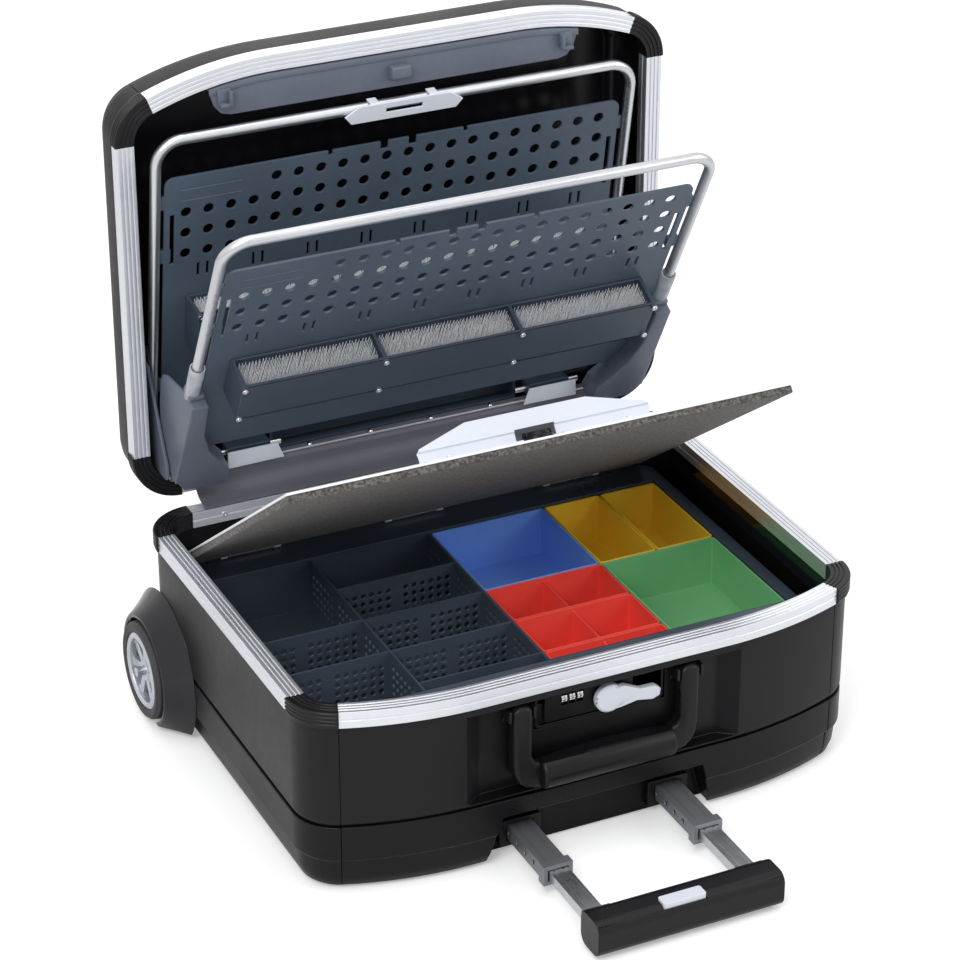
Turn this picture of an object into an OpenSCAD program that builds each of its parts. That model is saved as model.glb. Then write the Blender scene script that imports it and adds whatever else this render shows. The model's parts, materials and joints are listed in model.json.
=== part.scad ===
// Rolling hard tool case, lid open, tool boards folded out, trolley handle half drawn.
// Millimetres. Origin: centre of the flat underside. +X right, +Y to the back, +Z up.
// The front of the case, with its lock and carry handle, faces -Y.

/* [Case] */
// Outer width of the rim
case_width = 480; // [460:1:520]
// Depth of the rim along its straight sides
case_depth = 354; // [340:1:380]
// How far the front edge stands out past the corners' tangents
front_bow = 15; // [13:1:18]
// Half length of the front edge's straight middle
front_flat = 105; // [95:1:110]
// Plan radius of the front edge's two shoulders
shoulder_radius = 310; // [290:5:340]
// Plan radius of the four corners
corner_radius = 40; // [34:1:44]
// Height of the base rim above the ground
rim_height = 163; // [160:1:175]
// Height of the joint between trolley tub and upper shell
tub_height = 60; // [56:1:62]
// Wall of the moulded shells
shell_wall = 3; // [2.5:0.1:3.6]
// Thickness of the trolley tub floor
tub_floor = 3; // [2.5:0.1:4]
// Thickness of the floor of the upper shell
shell_floor = 2.5; // [2:0.1:2.6]

/* [Rim rails] */
// Width of the aluminium rim rails, seen from above
rail_width = 14; // [13:0.5:15]
// Height of the rim rails
rail_height = 14; // [12:0.5:15]
// Sheet thickness of the rim rails
rail_sheet = 2; // [1.6:0.1:2.2]
// How far the corner covers stand out past the rails
corner_proud = 1.2; // [0.8:0.1:1.6]

/* [Lid] */
// Outer depth of the lid
lid_depth = 58; // [57:0.5:66]
// Edge radius of the lid shell
lid_edge = 20; // [16:1:22]
// Gap between the two rims when the lid is shut
lid_gap = 0.5; // [0.5:0.1:1]
// Distance of the hinge axis behind the rim
hinge_back = 8; // [7:0.5:9]
// Angle of the open lid
lid_open = 90; // [90:1:92]

/* [Lid fittings] */
// Distance of the head tray's ends from the case's sides
header_inset = 78; // [76:1:88]
// Width of the head tray, front to back
header_width = 20; // [16:1:22]
// Height of the head tray
header_height = 20; // [16:1:24]
// Distance of the cross beam's ends from the case's sides
beam_inset = 125; // [122:1:134]
// Height of the pivot axis above the open lid's lower edge
pivot_rise = 33.5; // [33:0.5:35]
// Depth of the rear board's pivot in the lid
rear_pivot_depth = 43; // [42.5:0.5:44]
// How far the front board's pivot stands out of the lid
front_pivot_out = 10.5; // [9:0.5:10.5]
// Diameter of the metal pivot pins
pin_diameter = 5; // [4:0.5:6]
// How far the side brackets' wings reach towards the lid's front edge
wing_reach = 93; // [88:1:96]
// Thickness of the flexible hinge band
band_sheet = 1.6; // [1.2:0.1:1.8]

/* [Tool boards] */
// Distance of the wire frames' tubes from the case's sides
frame_inset = 30; // [29:1:36]
// Distance of the wire frames' top tubes from the lid's front edge
frame_room = 51.5; // [51.5:0.5:58]
// Tube diameter of the wire frames
frame_tube = 9; // [8:0.5:9.5]
// Bend radius of the wire frames
frame_bend = 22; // [18:1:26]
// Lean of the rear board
rear_lean = 9.5; // [8:0.5:11]
// Lean of the front board
front_lean = 28; // [24:1:30]
// Distance of a board's edge from the middle of the frame tube
board_gap = 8; // [7:1:16]
// Thickness of the perforated boards
board_thickness = 2.5; // [2:0.1:3]
// Distance of a board's top edge below the frame's top tube
board_drop = 35; // [32:1:42]
// Height of a board's bottom edge above the pivot
board_bottom = 30; // [28:1:40]
// Length of the moulded arms on the front frame
arm_length = 108; // [104:1:112]
// Pitch of the round holes in a row
hole_pitch = 19.3; // [18.5:0.1:19.4]
// Diameter of the round holes
hole_diameter = 9; // [7:0.5:10]
// Columns of round holes
hole_columns = 20; // [16:1:20]
// Rows of round holes
hole_rows = 4; // [3:1:4]

/* [Tool holders] */
// Distance of the bristle holder's ends from the board's edges
holder_inset = 19; // [18:1:26]
// Depth of the holder
holder_depth = 30; // [26:1:30]
// Top edge of the holder above the pivot
holder_top = 145; // [140:1:150]
// Height of the holder
holder_height = 41; // [38:1:44]
// Wall of the holder
holder_wall = 3; // [2.5:0.1:3.5]
// Compartments in each holder
holder_cells = 3; // [3:1:3]
// Rows of strands in a compartment
strand_rows = 27; // [24:1:27]
// Strands in a row
strands_per_row = 3; // [3:1:3]
// Length of the strands
strand_length = 30; // [26:1:31]
// Thickness of a strand
strand_size = 1.9; // [1.6:0.1:2.2]
// Thickness of the slice that holds the strands
strand_base = 4; // [3:0.5:5]

/* [Small parts tray] */
// Distance from the case's side to the tray's grid
grid_side_inset = 24; // [24:0.5:30]
// Distance from the rim's back edge, and from the front corners' line, to the grid
grid_end_inset = 42; // [42:0.5:46]
// Columns of the grid
grid_columns = 8; // [8:1:8]
// Rows of the grid
grid_rows = 5; // [5:1:5]
// Height of the boxes and dividers
box_height = 45; // [40:1:45]
// Wall of the loose boxes
box_wall = 1.6; // [1.4:0.1:2]
// Wall of the tray
tray_wall = 2.5; // [2:0.1:3]
// Width of the ledge around the tray
tray_ledge = 8; // [6:0.5:9]
// Thickness of the perforated dividers
divider_wall = 2; // [1.6:0.1:2.4]
// Diameter of the holes in the dividers
divider_hole = 4.6; // [3.8:0.2:5]
// Pitch of the holes in the dividers
divider_pitch = 7.6; // [7:0.1:7.8]
// Height of the tray's front ledge below the rim
ledge_drop = 10; // [9:0.5:16]
// Width of the tray's front ledge, rail included
ledge_width = 36; // [34:1:36]

/* [Foam cover] */
// Distance of the cover's edges from the case's sides
cover_inset = 24; // [22:1:30]
// Distance of the shut cover's front edge behind the case's front edge
cover_room = 42; // [40:1:56]
// Thickness of the cover sheet
cover_sheet = 2; // [1.5:0.1:2.2]
// Thickness of the foam
foam_thickness = 6; // [5:0.5:6]
// Height of the cover hinge above the tray
cover_rise = 3; // [2.5:0.5:4]
// Lift of the open cover
cover_open = 36; // [34:1:38]
// Half width of the bracket at its foot
bracket_half = 99; // [90:1:104]
// Half width of the bracket at its top
bracket_top_half = 52; // [46:1:58]
// Height of the bracket above the cover sheet
bracket_height = 28; // [24:1:29]
// Diameter of the turning knob in the bracket
knob_diameter = 26; // [22:1:28]

/* [Lock and carry handle] */
// Half width of the recessed bay in the front
bay_half = 108; // [104:1:112]
// Depth of the bay behind the front edge
bay_depth = 13; // [12:0.5:15]
// Length of the ramp at each end of the bay
bay_ramp = 24; // [18:1:28]
// Half width of the lock housing
lock_half = 56; // [54:1:60]
// Radius of the latch lever's disc
lever_radius = 12; // [11:0.5:12]
// Length of the latch lever's arm
lever_length = 44; // [38:1:46]
// Diameter of the combination dials
dial_diameter = 10; // [9:0.5:10.5]
// Width of a combination dial
dial_width = 4.6; // [4:0.2:5]
// Spacing of the combination dials
dial_pitch = 6.8; // [6.4:0.1:7.4]
// Half distance between the carry handle's pivots
handle_half = 72; // [68:1:76]
// Drop of the carry handle's grip below its pivots
handle_drop = 57; // [52:1:57]
// Thickness of the carry handle's grip
handle_grip = 22; // [19:1:22]

/* [Trolley] */
// Half distance between the trolley tubes
trolley_half = 65; // [60:1:68]
// Height of the trolley tubes above the ground
trolley_rise = 18; // [17:0.5:20]
// Width of the outer trolley stage
stage_one_width = 21; // [20:0.5:23]
// Thickness of the outer trolley stage
stage_one_thickness = 13; // [12:0.5:14]
// Width of the inner trolley stage
stage_two_width = 16; // [15:0.5:16.5]
// Thickness of the inner trolley stage
stage_two_thickness = 9; // [8:0.5:9.5]
// Wall of the trolley tubes
tube_wall = 1.5; // [1.2:0.1:1.6]
// Distance that the trolley stages end in front of the case's back
stage_room = 48; // [46:1:56]
// How far each stage is drawn out
stage_out = 68; // [60:1:70]
// Half width of the trolley grip
grip_half = 79; // [76:1:82]
// Thickness of the trolley grip
grip_thickness = 30; // [26:1:30]
// Width of the release button
button_width = 36; // [30:1:40]

/* [Wheels] */
// Diameter of the wheels
wheel_diameter = 84; // [80:1:86]
// Width of the wheels
wheel_width = 24; // [22:1:25]
// Distance of the wheel centre in front of the back edge
wheel_inset = 43; // [40:1:46]
// Diameter of the hub
hub_diameter = 66; // [62:1:68]
// Diameter of the axle
axle_diameter = 8; // [7:0.5:9]
// Radius of the fender where it meets the tub
fender_radius = 66; // [65:1:70]
// Height of the fender's flat lower end above the ground
fender_rise = 5; // [3:0.5:8]

/* [Hidden] */
$fn = 64;
seat_gap = 0.3;
slide_gap = 0.5;
eps = 0.02;
half_width = case_width / 2;
back_y = case_depth / 2;
front_y = -case_depth / 2 - front_bow;
corner_x = half_width - corner_radius;
shoulder_y = front_y + shoulder_radius;
seam = 0.04;
corner_back_y = back_y - corner_radius;
shoulder_run = corner_x - front_flat;
corner_front_y = round(1000 * (shoulder_y - sqrt(pow(shoulder_radius - corner_radius, 2)
  - pow(shoulder_run, 2)))) / 1000;
shoulder_turn = asin(shoulder_run / (shoulder_radius - corner_radius));
shell_inset = rail_sheet + seat_gap;
shell_inner = shell_inset + shell_wall;
hinge_y = back_y + hinge_back;
hinge_z = rim_height + lid_gap;
lid_z = rim_height + lid_gap;
tray_top = tub_height + shell_floor + tray_wall + 2 * seat_gap + box_height + 2;
tray_floor = tub_height + shell_floor + seat_gap;
ledge_y = front_y + ledge_width;
tray_half_x = half_width - grid_side_inset;
tray_half_y = case_depth / 2 - grid_end_inset;
grid_x = 2 * tray_half_x / grid_columns;
grid_y = 2 * tray_half_y / grid_rows;
pivot_y = back_y - pivot_rise + hinge_back;
header_half = half_width - header_inset;
beam_half = half_width - beam_inset;
frame_half = half_width - frame_inset;
frame_length = pivot_y - front_y - frame_room;
board_half = frame_half - board_gap;
board_top = frame_length - board_drop;
holder_half = board_half - holder_inset;
cover_half = half_width - cover_inset;
rear_pivot_z = lid_z + rear_pivot_depth;
front_pivot_z = lid_z - front_pivot_out;
cover_y = back_y - rail_width + 2;
cover_length = cover_y - front_y - cover_room;
cover_z = tray_top + cover_rise;
foam_z = tray_top + 1.2;
sheet_z = foam_z + foam_thickness;
bracket_y = cover_y - cover_length + 6;
beam_y = back_y - 18;
pin_y = beam_y - 7;
clamp_y = back_y - rail_width - 2 * seat_gap - band_sheet;
bay_y = front_y + bay_depth;
bay_block_half = bay_half + bay_ramp * 0.6 + shell_wall;
bay_block_depth = shell_wall + 7;
bay_low = tub_height + 3.5;
bay_high = rim_height - rail_height - 7;
lock_z = rim_height - 39;
lever_x = 6;
dial_x = -23.5;
dial_z = 6;
dial_y = bay_y - 1.3 + dial_diameter / 2;
handle_y = bay_y - 9;
handle_z = lock_z + 10;
wheel_y = back_y - wheel_inset;
wheel_z = wheel_diameter / 2 + 2;
wheel_x = half_width - shell_inset + 2;
tube_y = front_y + 23;
stage_length = back_y - tube_y - stage_room;
stage_one_y = tube_y - stage_out;
stage_two_y = stage_one_y - 4 - stage_out;

// ---- shared outlines ----

// Points on an arc of the plan, from one angle to another.
function arc(center, r, from, to, steps) =
  [for (i = [0:steps]) center + r * [cos(from + (to - from) * i / steps), sin(from + (to - from) * i / steps)]];

// The case's plan, drawn in by inset: straight sides and back, round corners, and a front
// edge that is straight in its middle and falls back over two shoulders.
module plan(inset) {
  r = corner_radius - inset;
  shoulder = shoulder_radius - inset;
  turn = shoulder_turn;
  polygon(concat(
    arc([corner_x, corner_back_y], r, 0, 90, 8),
    arc([-corner_x, corner_back_y], r, 90, 180, 8),
    arc([-corner_x, corner_front_y], r, 180, 270 - turn, 7),
    arc([-front_flat, shoulder_y], shoulder, 270 - turn * 0.9, 270, 8),
    arc([front_flat, shoulder_y], shoulder, 270, 270 + turn * 0.9, 8),
    arc([corner_x, corner_front_y], r, 270 + turn, 360, 7)
  ));
}

// Each run carries a profile along one stretch of the plan: x outwards, y up.
module back_run() {
  translate([-corner_x, back_y, 0]) rotate([90, 0, 90]) linear_extrude(2 * corner_x) children();
}

module side_runs() {
  for (side = [0, 1])
    mirror([side, 0, 0]) translate([half_width, corner_back_y, 0]) rotate([90, 0, 0])
      linear_extrude(corner_back_y - corner_front_y) children();
}

module front_run(turn = shoulder_turn) {
  translate([front_flat, front_y, 0]) rotate([90, 0, -90]) linear_extrude(2 * front_flat) children();
  for (side = [0, 1])
    mirror([side, 0, 0]) translate([front_flat, shoulder_y, 0]) rotate([0, 0, -90])
      rotate_extrude(angle = turn, $fn = 240) translate([shoulder_radius, 0]) children();
}

module corner_runs() {
  for (side = [0, 1]) mirror([side, 0, 0]) {
    translate([corner_x, corner_back_y, 0])
      rotate_extrude(angle = 90) translate([corner_radius, 0]) children();
    translate([corner_x, corner_front_y, 0]) mirror([0, 1, 0])
      rotate_extrude(angle = 90 - shoulder_turn - seam) translate([corner_radius, 0]) children();
  }
}

module full_run() {
  back_run() children();
  side_runs() children();
  front_run() children();
  corner_runs() children();
}

// Rail section: a ribbed channel, open downwards, over the top of a wall.
module rail_section() {
  w = rail_width;
  h = rail_height;
  t = rail_sheet;
  difference() {
    translate([-w, -h]) square([w, h]);
    translate([-shell_inner - seat_gap, -h - 1]) square([shell_wall + 2 * seat_gap, h - t + 1]);
    translate([-w + t, -h - 1]) square([w - 2 * t - shell_wall - 2 * seat_gap - 0.4, h - t + 1]);
    for (i = [1:3]) translate([-w * i / 4 - 0.6, -0.7]) square([1.2, 1.7]);
    translate([-0.6, -h * 0.55]) square([1.6, 1.2]);
    translate([-w - 1, -h * 0.55]) square([1.6, 1.2]);
  }
}

// Corner cover section: the rail's shape, a little prouder, with ribs.
module corner_section() {
  w = rail_width;
  h = rail_height;
  t = rail_sheet;
  p = corner_proud;
  difference() {
    union() {
      translate([-w, -h]) square([w + p, h + 0.2]);
      for (i = [0:3]) translate([p - eps, -2 - i * 3.2]) square([0.8, 1.6]);
    }
    translate([-shell_inner - seat_gap, -h - 1]) square([shell_wall + 2 * seat_gap, h - t + 1]);
    translate([-w + t, -h - 1]) square([w - 2 * t - shell_wall - 2 * seat_gap - 0.4, h - t + 1]);
    for (i = [1:3]) translate([-w * i / 4 - 0.6, -0.7]) square([1.2, 1.7]);
  }
}

// Puts children drawn in the shut lid's place into the open lid.
module in_lid() {
  translate([0, hinge_y, hinge_z]) rotate([-lid_open, 0, 0])
    translate([0, -hinge_y, -hinge_z]) children();
}

// A tool board's own place: x across, y down from the pivot, z towards the lid's inside.
module on_board(pivot_z, lean) {
  in_lid() translate([0, pivot_y, pivot_z]) rotate([lean, 0, 0]) children();
}

// The cover's own place, turned up about its hinge.
module on_cover() {
  translate([0, cover_y, cover_z]) rotate([-cover_open, 0, 0])
    translate([0, -cover_y, -cover_z]) children();
}

module rounded_box(size, r) {
  for (x = [r, size[0] - r], y = [r, size[1] - r]) translate([x, y, 0]) cylinder(size[2], r, r);
  translate([r, 0, 0]) cube([size[0] - 2 * r, size[1], size[2]]);
  translate([0, r, 0]) cube([size[0], size[1] - 2 * r, size[2]]);
}

module rounded_plate(w, h, r) {
  translate([r - w / 2, -h / 2]) square([w - 2 * r, h]);
  translate([-w / 2, r - h / 2]) square([w, h - 2 * r]);
  for (x = [r - w / 2, w / 2 - r], y = [r - h / 2, h / 2 - r]) translate([x, y]) circle(r);
}

// ---- base ----

module base_shell() {
  color([0.09, 0.09, 0.1]) difference() {
    union() {
      full_run() polygon([
        [-shell_inset, rim_height - rail_sheet - seat_gap],
        [-shell_inset, rim_height - rail_height - 2],
        [-shell_inset + 1, rim_height - rail_height - 6],
        [-shell_inset + 1, tub_height + 6],
        [-shell_inset - 0.5, tub_height + 1.5],
        [-shell_inset - 1.5, tub_height],
        [-shell_inner - 1.5, tub_height],
        [-shell_inner - 1.2, tub_height + 1.5],
        [-shell_inner, tub_height + 6],
        [-shell_inner, rim_height - rail_sheet - seat_gap]
      ]);
      translate([0, 0, tub_height + 0.4]) linear_extrude(shell_floor - 0.4) plan(shell_inner - 0.2);
      bay_block();
    }
    bay_cut();
  }
}

// Room for the three dials between two depths.
module dial_room(front, back) {
  width = 2 * dial_pitch + dial_width + 1.6;
  high = dial_diameter + 1;
  translate([dial_x - width / 2, front, lock_z + dial_z - high / 2])
    cube([width, back - front, high]);
}

// Takes away what lies in front of the bowed front wall's middle, between two heights.
module trim_front(low, high) {
  front_run() polygon([
    [-shell_inset - 0.6, high],
    [-shell_inset - 0.6, tub_height * 0.5],
    [-shell_inset - 2.1, tub_height * 0.5 - 2],
    [-shell_inset - 3.6, 12],
    [-shell_inset - 6.8, 4],
    [-shell_inset - 12, low],
    [40, low],
    [40, high]
  ]);
}

// Block behind the front wall in which the bay is sunk.
module bay_block() {
  difference() {
    translate([-bay_block_half, front_y - 2, tub_height + 1.2])
      cube([2 * bay_block_half, bay_y + bay_block_depth - front_y + 2, bay_high - tub_height + 1.8]);
    translate([0, 0, 0.3]) trim_front(-1, rim_height);
  }
}

module bay_cut() {
  low_x = bay_half - bay_ramp * 0.4;
  translate([0, 0, bay_low]) linear_extrude(bay_high - bay_low) polygon([
    [-low_x, bay_y],
    [-low_x - 6, bay_y - 1],
    [-bay_half - bay_ramp * 0.3, front_y + 4],
    [-bay_half - bay_ramp * 0.6, front_y - 2],
    [bay_half + bay_ramp * 0.6, front_y - 2],
    [bay_half + bay_ramp * 0.3, front_y + 4],
    [low_x + 6, bay_y - 1],
    [low_x, bay_y]
  ]);
  translate([-lock_half, bay_y - 1, lock_z - 15]) cube([2 * lock_half, 6, 32]);
  dial_room(bay_y - 1, dial_y + dial_diameter / 2 + 0.3);
}

module trolley_tub() {
  color([0.08, 0.08, 0.09]) difference() {
    union() {
      full_run() polygon([
        [-shell_inset + 1, tub_height - seat_gap],
        [-shell_inset + 1, tub_height * 0.5],
        [-shell_inset - 1.5, tub_height * 0.5 - 2],
        [-shell_inset - 3, 12],
        [-shell_inset - 6, 4],
        [-shell_inset - 11, 0],
        [-shell_inner - 11, 0],
        [-shell_inner - 10, 1.2],
        [-shell_inner - 6, 7],
        [-shell_inner - 3, 14],
        [-shell_inner, tub_height * 0.5],
        [-shell_inner, tub_height - seat_gap]
      ]);
      translate([0, 0, 1]) linear_extrude(tub_floor - 1) plan(shell_inset + 10.7);
      recess_block();
      for (side = [-1, 1]) axle_boss(side);
    }
    recess_cut();
    for (side = [-1, 1]) translate([side * trolley_half, tube_y - 1, trolley_rise])
      tube_hole(stage_one_width + 10, stage_one_thickness + 6, shell_wall + 8);
    translate([-half_width - 30, wheel_y, wheel_z]) rotate([0, 90, 0])
      cylinder(case_width + 60, axle_diameter / 2 + seat_gap, axle_diameter / 2 + seat_gap);
  }
}

module recess_block() {
  difference() {
    translate([-grip_half - 26, front_y - 2, 1.4])
      cube([2 * grip_half + 52, tube_y + shell_wall - front_y + 2, trolley_rise + 26 + shell_wall]);
    trim_front(-1, tub_height + 2);
  }
}

// Room in the front for the trolley grip, wider towards the ground.
module recess_cut() {
  translate([0, tube_y, 0]) rotate([90, 0, 0]) linear_extrude(60) polygon([
    [-grip_half - 20, -1],
    [grip_half + 20, -1],
    [grip_half + 8, trolley_rise + 26],
    [-grip_half - 8, trolley_rise + 26]
  ]);
}

module tube_hole(w, h, length) {
  translate([-w / 2, 0, -h / 2]) cube([w, length, h]);
}

module axle_boss(side) {
  length = 22;
  mirror([side > 0 ? 0 : 1, 0, 0]) {
    translate([half_width - shell_inner - length + 1, wheel_y, wheel_z]) rotate([0, 90, 0])
      cylinder(length, 14, 14);
    translate([half_width - shell_inner - length + 1.3, wheel_y - 3, 1.4])
      cube([9, 6, wheel_z - 8]);
  }
}

module rail_metal() {
  color([0.72, 0.73, 0.75]) children();
}

module base_front_rail() {
  rail_metal() translate([0, 0, rim_height]) front_run() rail_section();
}

module base_side_rails() {
  rail_metal() translate([0, 0, rim_height]) side_runs() rail_section();
}

module base_back_rail() {
  rail_metal() translate([0, 0, rim_height]) back_run() rail_section();
}

module base_corners() {
  color([0.05, 0.05, 0.055]) translate([0, 0, rim_height]) corner_runs() corner_section();
}

module hollow_tube(w, h, length, wall) {
  difference() {
    translate([-w / 2, 0, -h / 2]) cube([w, length, h]);
    translate([-w / 2 + wall, -1, -h / 2 + wall]) cube([w - 2 * wall, length + 2, h - 2 * wall]);
  }
}

module guide_tubes() {
  guide_w = stage_one_width + 2 * slide_gap + 2 * tube_wall;
  guide_h = stage_one_thickness + 2 * slide_gap + 2 * tube_wall;
  color([0.5, 0.51, 0.53]) for (side = [-1, 1])
    translate([side * trolley_half, tube_y + shell_wall + 8, trolley_rise]) {
      hollow_tube(guide_w, guide_h, stage_length + 10, tube_wall);
      for (y = [20, stage_length - 20])
        translate([-guide_w / 2, y, tub_floor - trolley_rise])
          cube([guide_w, 12, trolley_rise - guide_h / 2 - tub_floor + eps]);
    }
}

module tube_collars() {
  w = stage_one_width + 10 - 2 * seat_gap;
  h = stage_one_thickness + 6 - 2 * seat_gap;
  color([0.06, 0.06, 0.065]) for (side = [-1, 1])
    translate([side * trolley_half, tube_y - 2, trolley_rise]) difference() {
      union() {
        translate([-w / 2, 0, -h / 2]) cube([w, shell_wall + 9.5, h]);
        translate([-w / 2 - 2.5, -4, -h / 2 - 2]) cube([w + 5, 5.7, h + 4]);
      }
      translate([0, -7, 0])
        tube_hole(stage_one_width + 2 * slide_gap, stage_one_thickness + 2 * slide_gap, 40);
    }
}

// ---- wheels ----

// Fender: a flared shell round the wheel from behind its top to the ground in front, its
// rear end closed by a rib.
module wheel_fenders() {
  out = wheel_width - 3;
  r = fender_radius;
  lip = wheel_diameter / 2 + 2.5;
  high = 400;
  color([0.06, 0.06, 0.065]) for (side = [0, 1]) mirror([side, 0, 0]) difference() {
    translate([half_width - shell_inset + 1.1, wheel_y, wheel_z]) rotate([0, 90, 0]) rotate([0, 0, 105]) {
      rotate_extrude(angle = 240, $fn = 96) polygon([
        [r, 0],
        [r - 3, 3],
        [r - 8, 8],
        [r - 13, 14],
        [r - 17, out - 1.5],
        [r - 18.5, out],
        [lip, out - 0.5],
        [lip, out - 3],
        [r - 19.5, out - 3.5],
        [r - 16, 12],
        [r - 11, 7],
        [r - 6, 2.5],
        [r - 4, 0]
      ]);
      rotate_extrude(angle = 4, $fn = 96) polygon([
        [r - 5, 1],
        [r - 9.5, 7.2],
        [r - 14.5, 12.8],
        [r - 18, out - 2.5],
        [lip + 0.5, out - 2.5],
        [lip + 0.5, 1]
      ]);
    }
    translate([0, 0, fender_rise - high / 2]) cube([2 * case_width, 2 * case_depth, high], center = true);
  }
}

module wheel_axle() {
  length = case_width - 2 * shell_inset + 2 * wheel_width + 9;
  color([0.6, 0.61, 0.63]) translate([-length / 2, wheel_y, wheel_z]) rotate([0, 90, 0])
    cylinder(length, axle_diameter / 2, axle_diameter / 2);
}

module wheel_place(side) {
  translate([side * wheel_x, wheel_y, wheel_z]) rotate([0, side * 90, 0]) children();
}

module tyre() {
  r = wheel_diameter / 2;
  hub = hub_diameter / 2;
  rotate_extrude($fn = 96) polygon([
    [hub, 1],
    [r - 3, 0],
    [r - 0.6, 3],
    [r, 7],
    [r, wheel_width - 7],
    [r - 0.6, wheel_width - 3],
    [r - 3, wheel_width],
    [hub, wheel_width - 1]
  ]);
}

module hub() {
  r = hub_diameter / 2 - eps;
  bore = axle_diameter / 2 + 0.08;
  rotate_extrude($fn = 96) polygon([
    [r - 3, 2],
    [r, 2],
    [r, wheel_width - 2],
    [r - 4, wheel_width],
    [r - 6, wheel_width - 2],
    [r - 6, wheel_width - 8],
    [r - 3, wheel_width - 10]
  ]);
  rotate_extrude($fn = 96) polygon([
    [bore, 3],
    [9, 3],
    [9, wheel_width - 4.4],
    [bore, wheel_width - 4.4]
  ]);
  for (i = [0:6]) rotate([0, 0, i * 360 / 7])
    translate([6, -3.5, wheel_width - 9.5]) cube([r - 9.6, 7, 4.2]);
  translate([0, 0, 3]) difference() {
    cylinder(3, r - 2, r - 2);
    translate([0, 0, -1]) cylinder(5, 7, 7);
  }
}

module left_tyre() {
  color([0.07, 0.07, 0.07]) wheel_place(-1) tyre();
}

module left_hub() {
  color([0.75, 0.76, 0.78]) wheel_place(-1) hub();
}

module right_tyre() {
  color([0.07, 0.07, 0.07]) wheel_place(1) tyre();
}

module right_hub() {
  color([0.75, 0.76, 0.78]) wheel_place(1) hub();
}

// ---- lock and carry handle ----

module front_face(depth) {
  translate([0, bay_y - depth, lock_z]) rotate([90, 0, 0]) children();
}

module lock_housing() {
  w = 2 * lock_half - 2 * seat_gap;
  color([0.05, 0.05, 0.055]) difference() {
    front_face(-4.7) translate([0, 1, 0]) difference() {
      linear_extrude(5.3) rounded_plate(w, 31.4, 4);
      translate([0, 0, 2]) linear_extrude(6) rounded_plate(w - 5, 27, 3);
    }
    front_face(-6) translate([lever_x, 0, 0]) cylinder(12, 4.4, 4.4);
    dial_room(bay_y - 3, bay_y + 6);
  }
}

module lock_plate() {
  color([0.1, 0.1, 0.11]) front_face(-2.4) difference() {
    translate([-9, 1, 0]) linear_extrude(2.6) rounded_plate(76, 25, 3);
    for (i = [-1:1])
      translate([dial_x + i * dial_pitch - dial_width / 2 - 0.4, dial_z - dial_diameter / 2 - 0.4, -1])
        cube([dial_width + 0.8, dial_diameter + 0.8, 6]);
    translate([lever_x, 0, -1]) cylinder(6, 4.4, 4.4);
  }
}

module dial(index) {
  facets = 10;
  color([0.7, 0.7, 0.72])
    translate([dial_x + index * dial_pitch - dial_width / 2, dial_y, lock_z + dial_z])
      rotate([0, 90, 0]) difference() {
        cylinder(dial_width, dial_diameter / 2 * 0.95, dial_diameter / 2 * 0.95);
        for (i = [0:facets - 1]) rotate([0, 0, i * 360 / facets])
          translate([dial_diameter / 2 * 0.95, 0, -1]) cylinder(dial_width + 2, 0.5, 0.5);
        translate([0, 0, -1]) cylinder(dial_width + 2, 1.2, 1.2);
      }
}

module dial_left() {
  dial(-1);
}

module dial_middle() {
  dial(0);
}

module dial_right() {
  dial(1);
}

// A round boss with a tapering, slightly drooping arm and a spindle into the housing.
module latch_lever() {
  color([0.78, 0.79, 0.81]) front_face(1.2) translate([lever_x, 0, 0]) {
    translate([0, 0, -6.2]) cylinder(7, 4, 4);
    cylinder(5, lever_radius, lever_radius);
    translate([0, 0, 4.9]) cylinder(1.6, lever_radius, lever_radius - 2);
    rotate([0, 0, -6]) linear_extrude(6) polygon([
      [0, 9],
      [12, 10],
      [26, 5],
      [lever_length - 5, 6],
      [lever_length, 3],
      [lever_length, -3],
      [lever_length - 6, -6],
      [24, -5],
      [10, -9],
      [0, -9]
    ]);
  }
}

module handle_pivots() {
  color([0.06, 0.06, 0.065]) for (side = [-1, 1]) for (x = [-11.5, 9])
    translate([side * handle_half + x, bay_y, handle_z]) {
      translate([0, -14, -5]) cube([2.5, 14 - seat_gap / 3, 10]);
      translate([0, -3, -9]) cube([2.5, 3 - seat_gap / 3, 16.5]);
    }
  color([0.6, 0.6, 0.62]) for (side = [-1, 1])
    translate([side * handle_half - 11.5, handle_y, handle_z]) rotate([0, 90, 0])
      cylinder(23, 2.4, 2.4);
}

// A moulded U: two arms on the pivots, easing forward into a rounded grip bar.
module carry_handle() {
  low = -handle_drop;
  grip_r = handle_grip / 2;
  color([0.07, 0.07, 0.075]) translate([0, handle_y, handle_z]) {
    difference() {
      union() {
        for (side = [-1, 1]) translate([side * handle_half - 8, 0, 0]) {
          rotate([0, 90, 0]) cylinder(16, 7, 7);
          rotate([90, 0, 90]) linear_extrude(16) polygon([
            [-7, 0],
            [-9, -24],
            [-12, low + 4],
            [2, low + 4],
            [5, -24],
            [7, 0]
          ]);
        }
        translate([-handle_half - 8, -5.5, low]) rotate([0, 90, 0])
          cylinder(2 * handle_half + 16, grip_r * 0.82, grip_r * 0.82);
        translate([-handle_half + 4, -5.5, low - 1]) rotate([0, 90, 0])
          cylinder(2 * handle_half - 8, grip_r, grip_r);
      }
      for (side = [-1, 1]) translate([side * handle_half - 20, 0, 0]) rotate([0, 90, 0])
        cylinder(40, 2.5, 2.5);
      translate([-half_width, 8.3, low - 30]) cube([case_width, 30, 60]);
    }
  }
}

// ---- small parts tray ----

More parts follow.
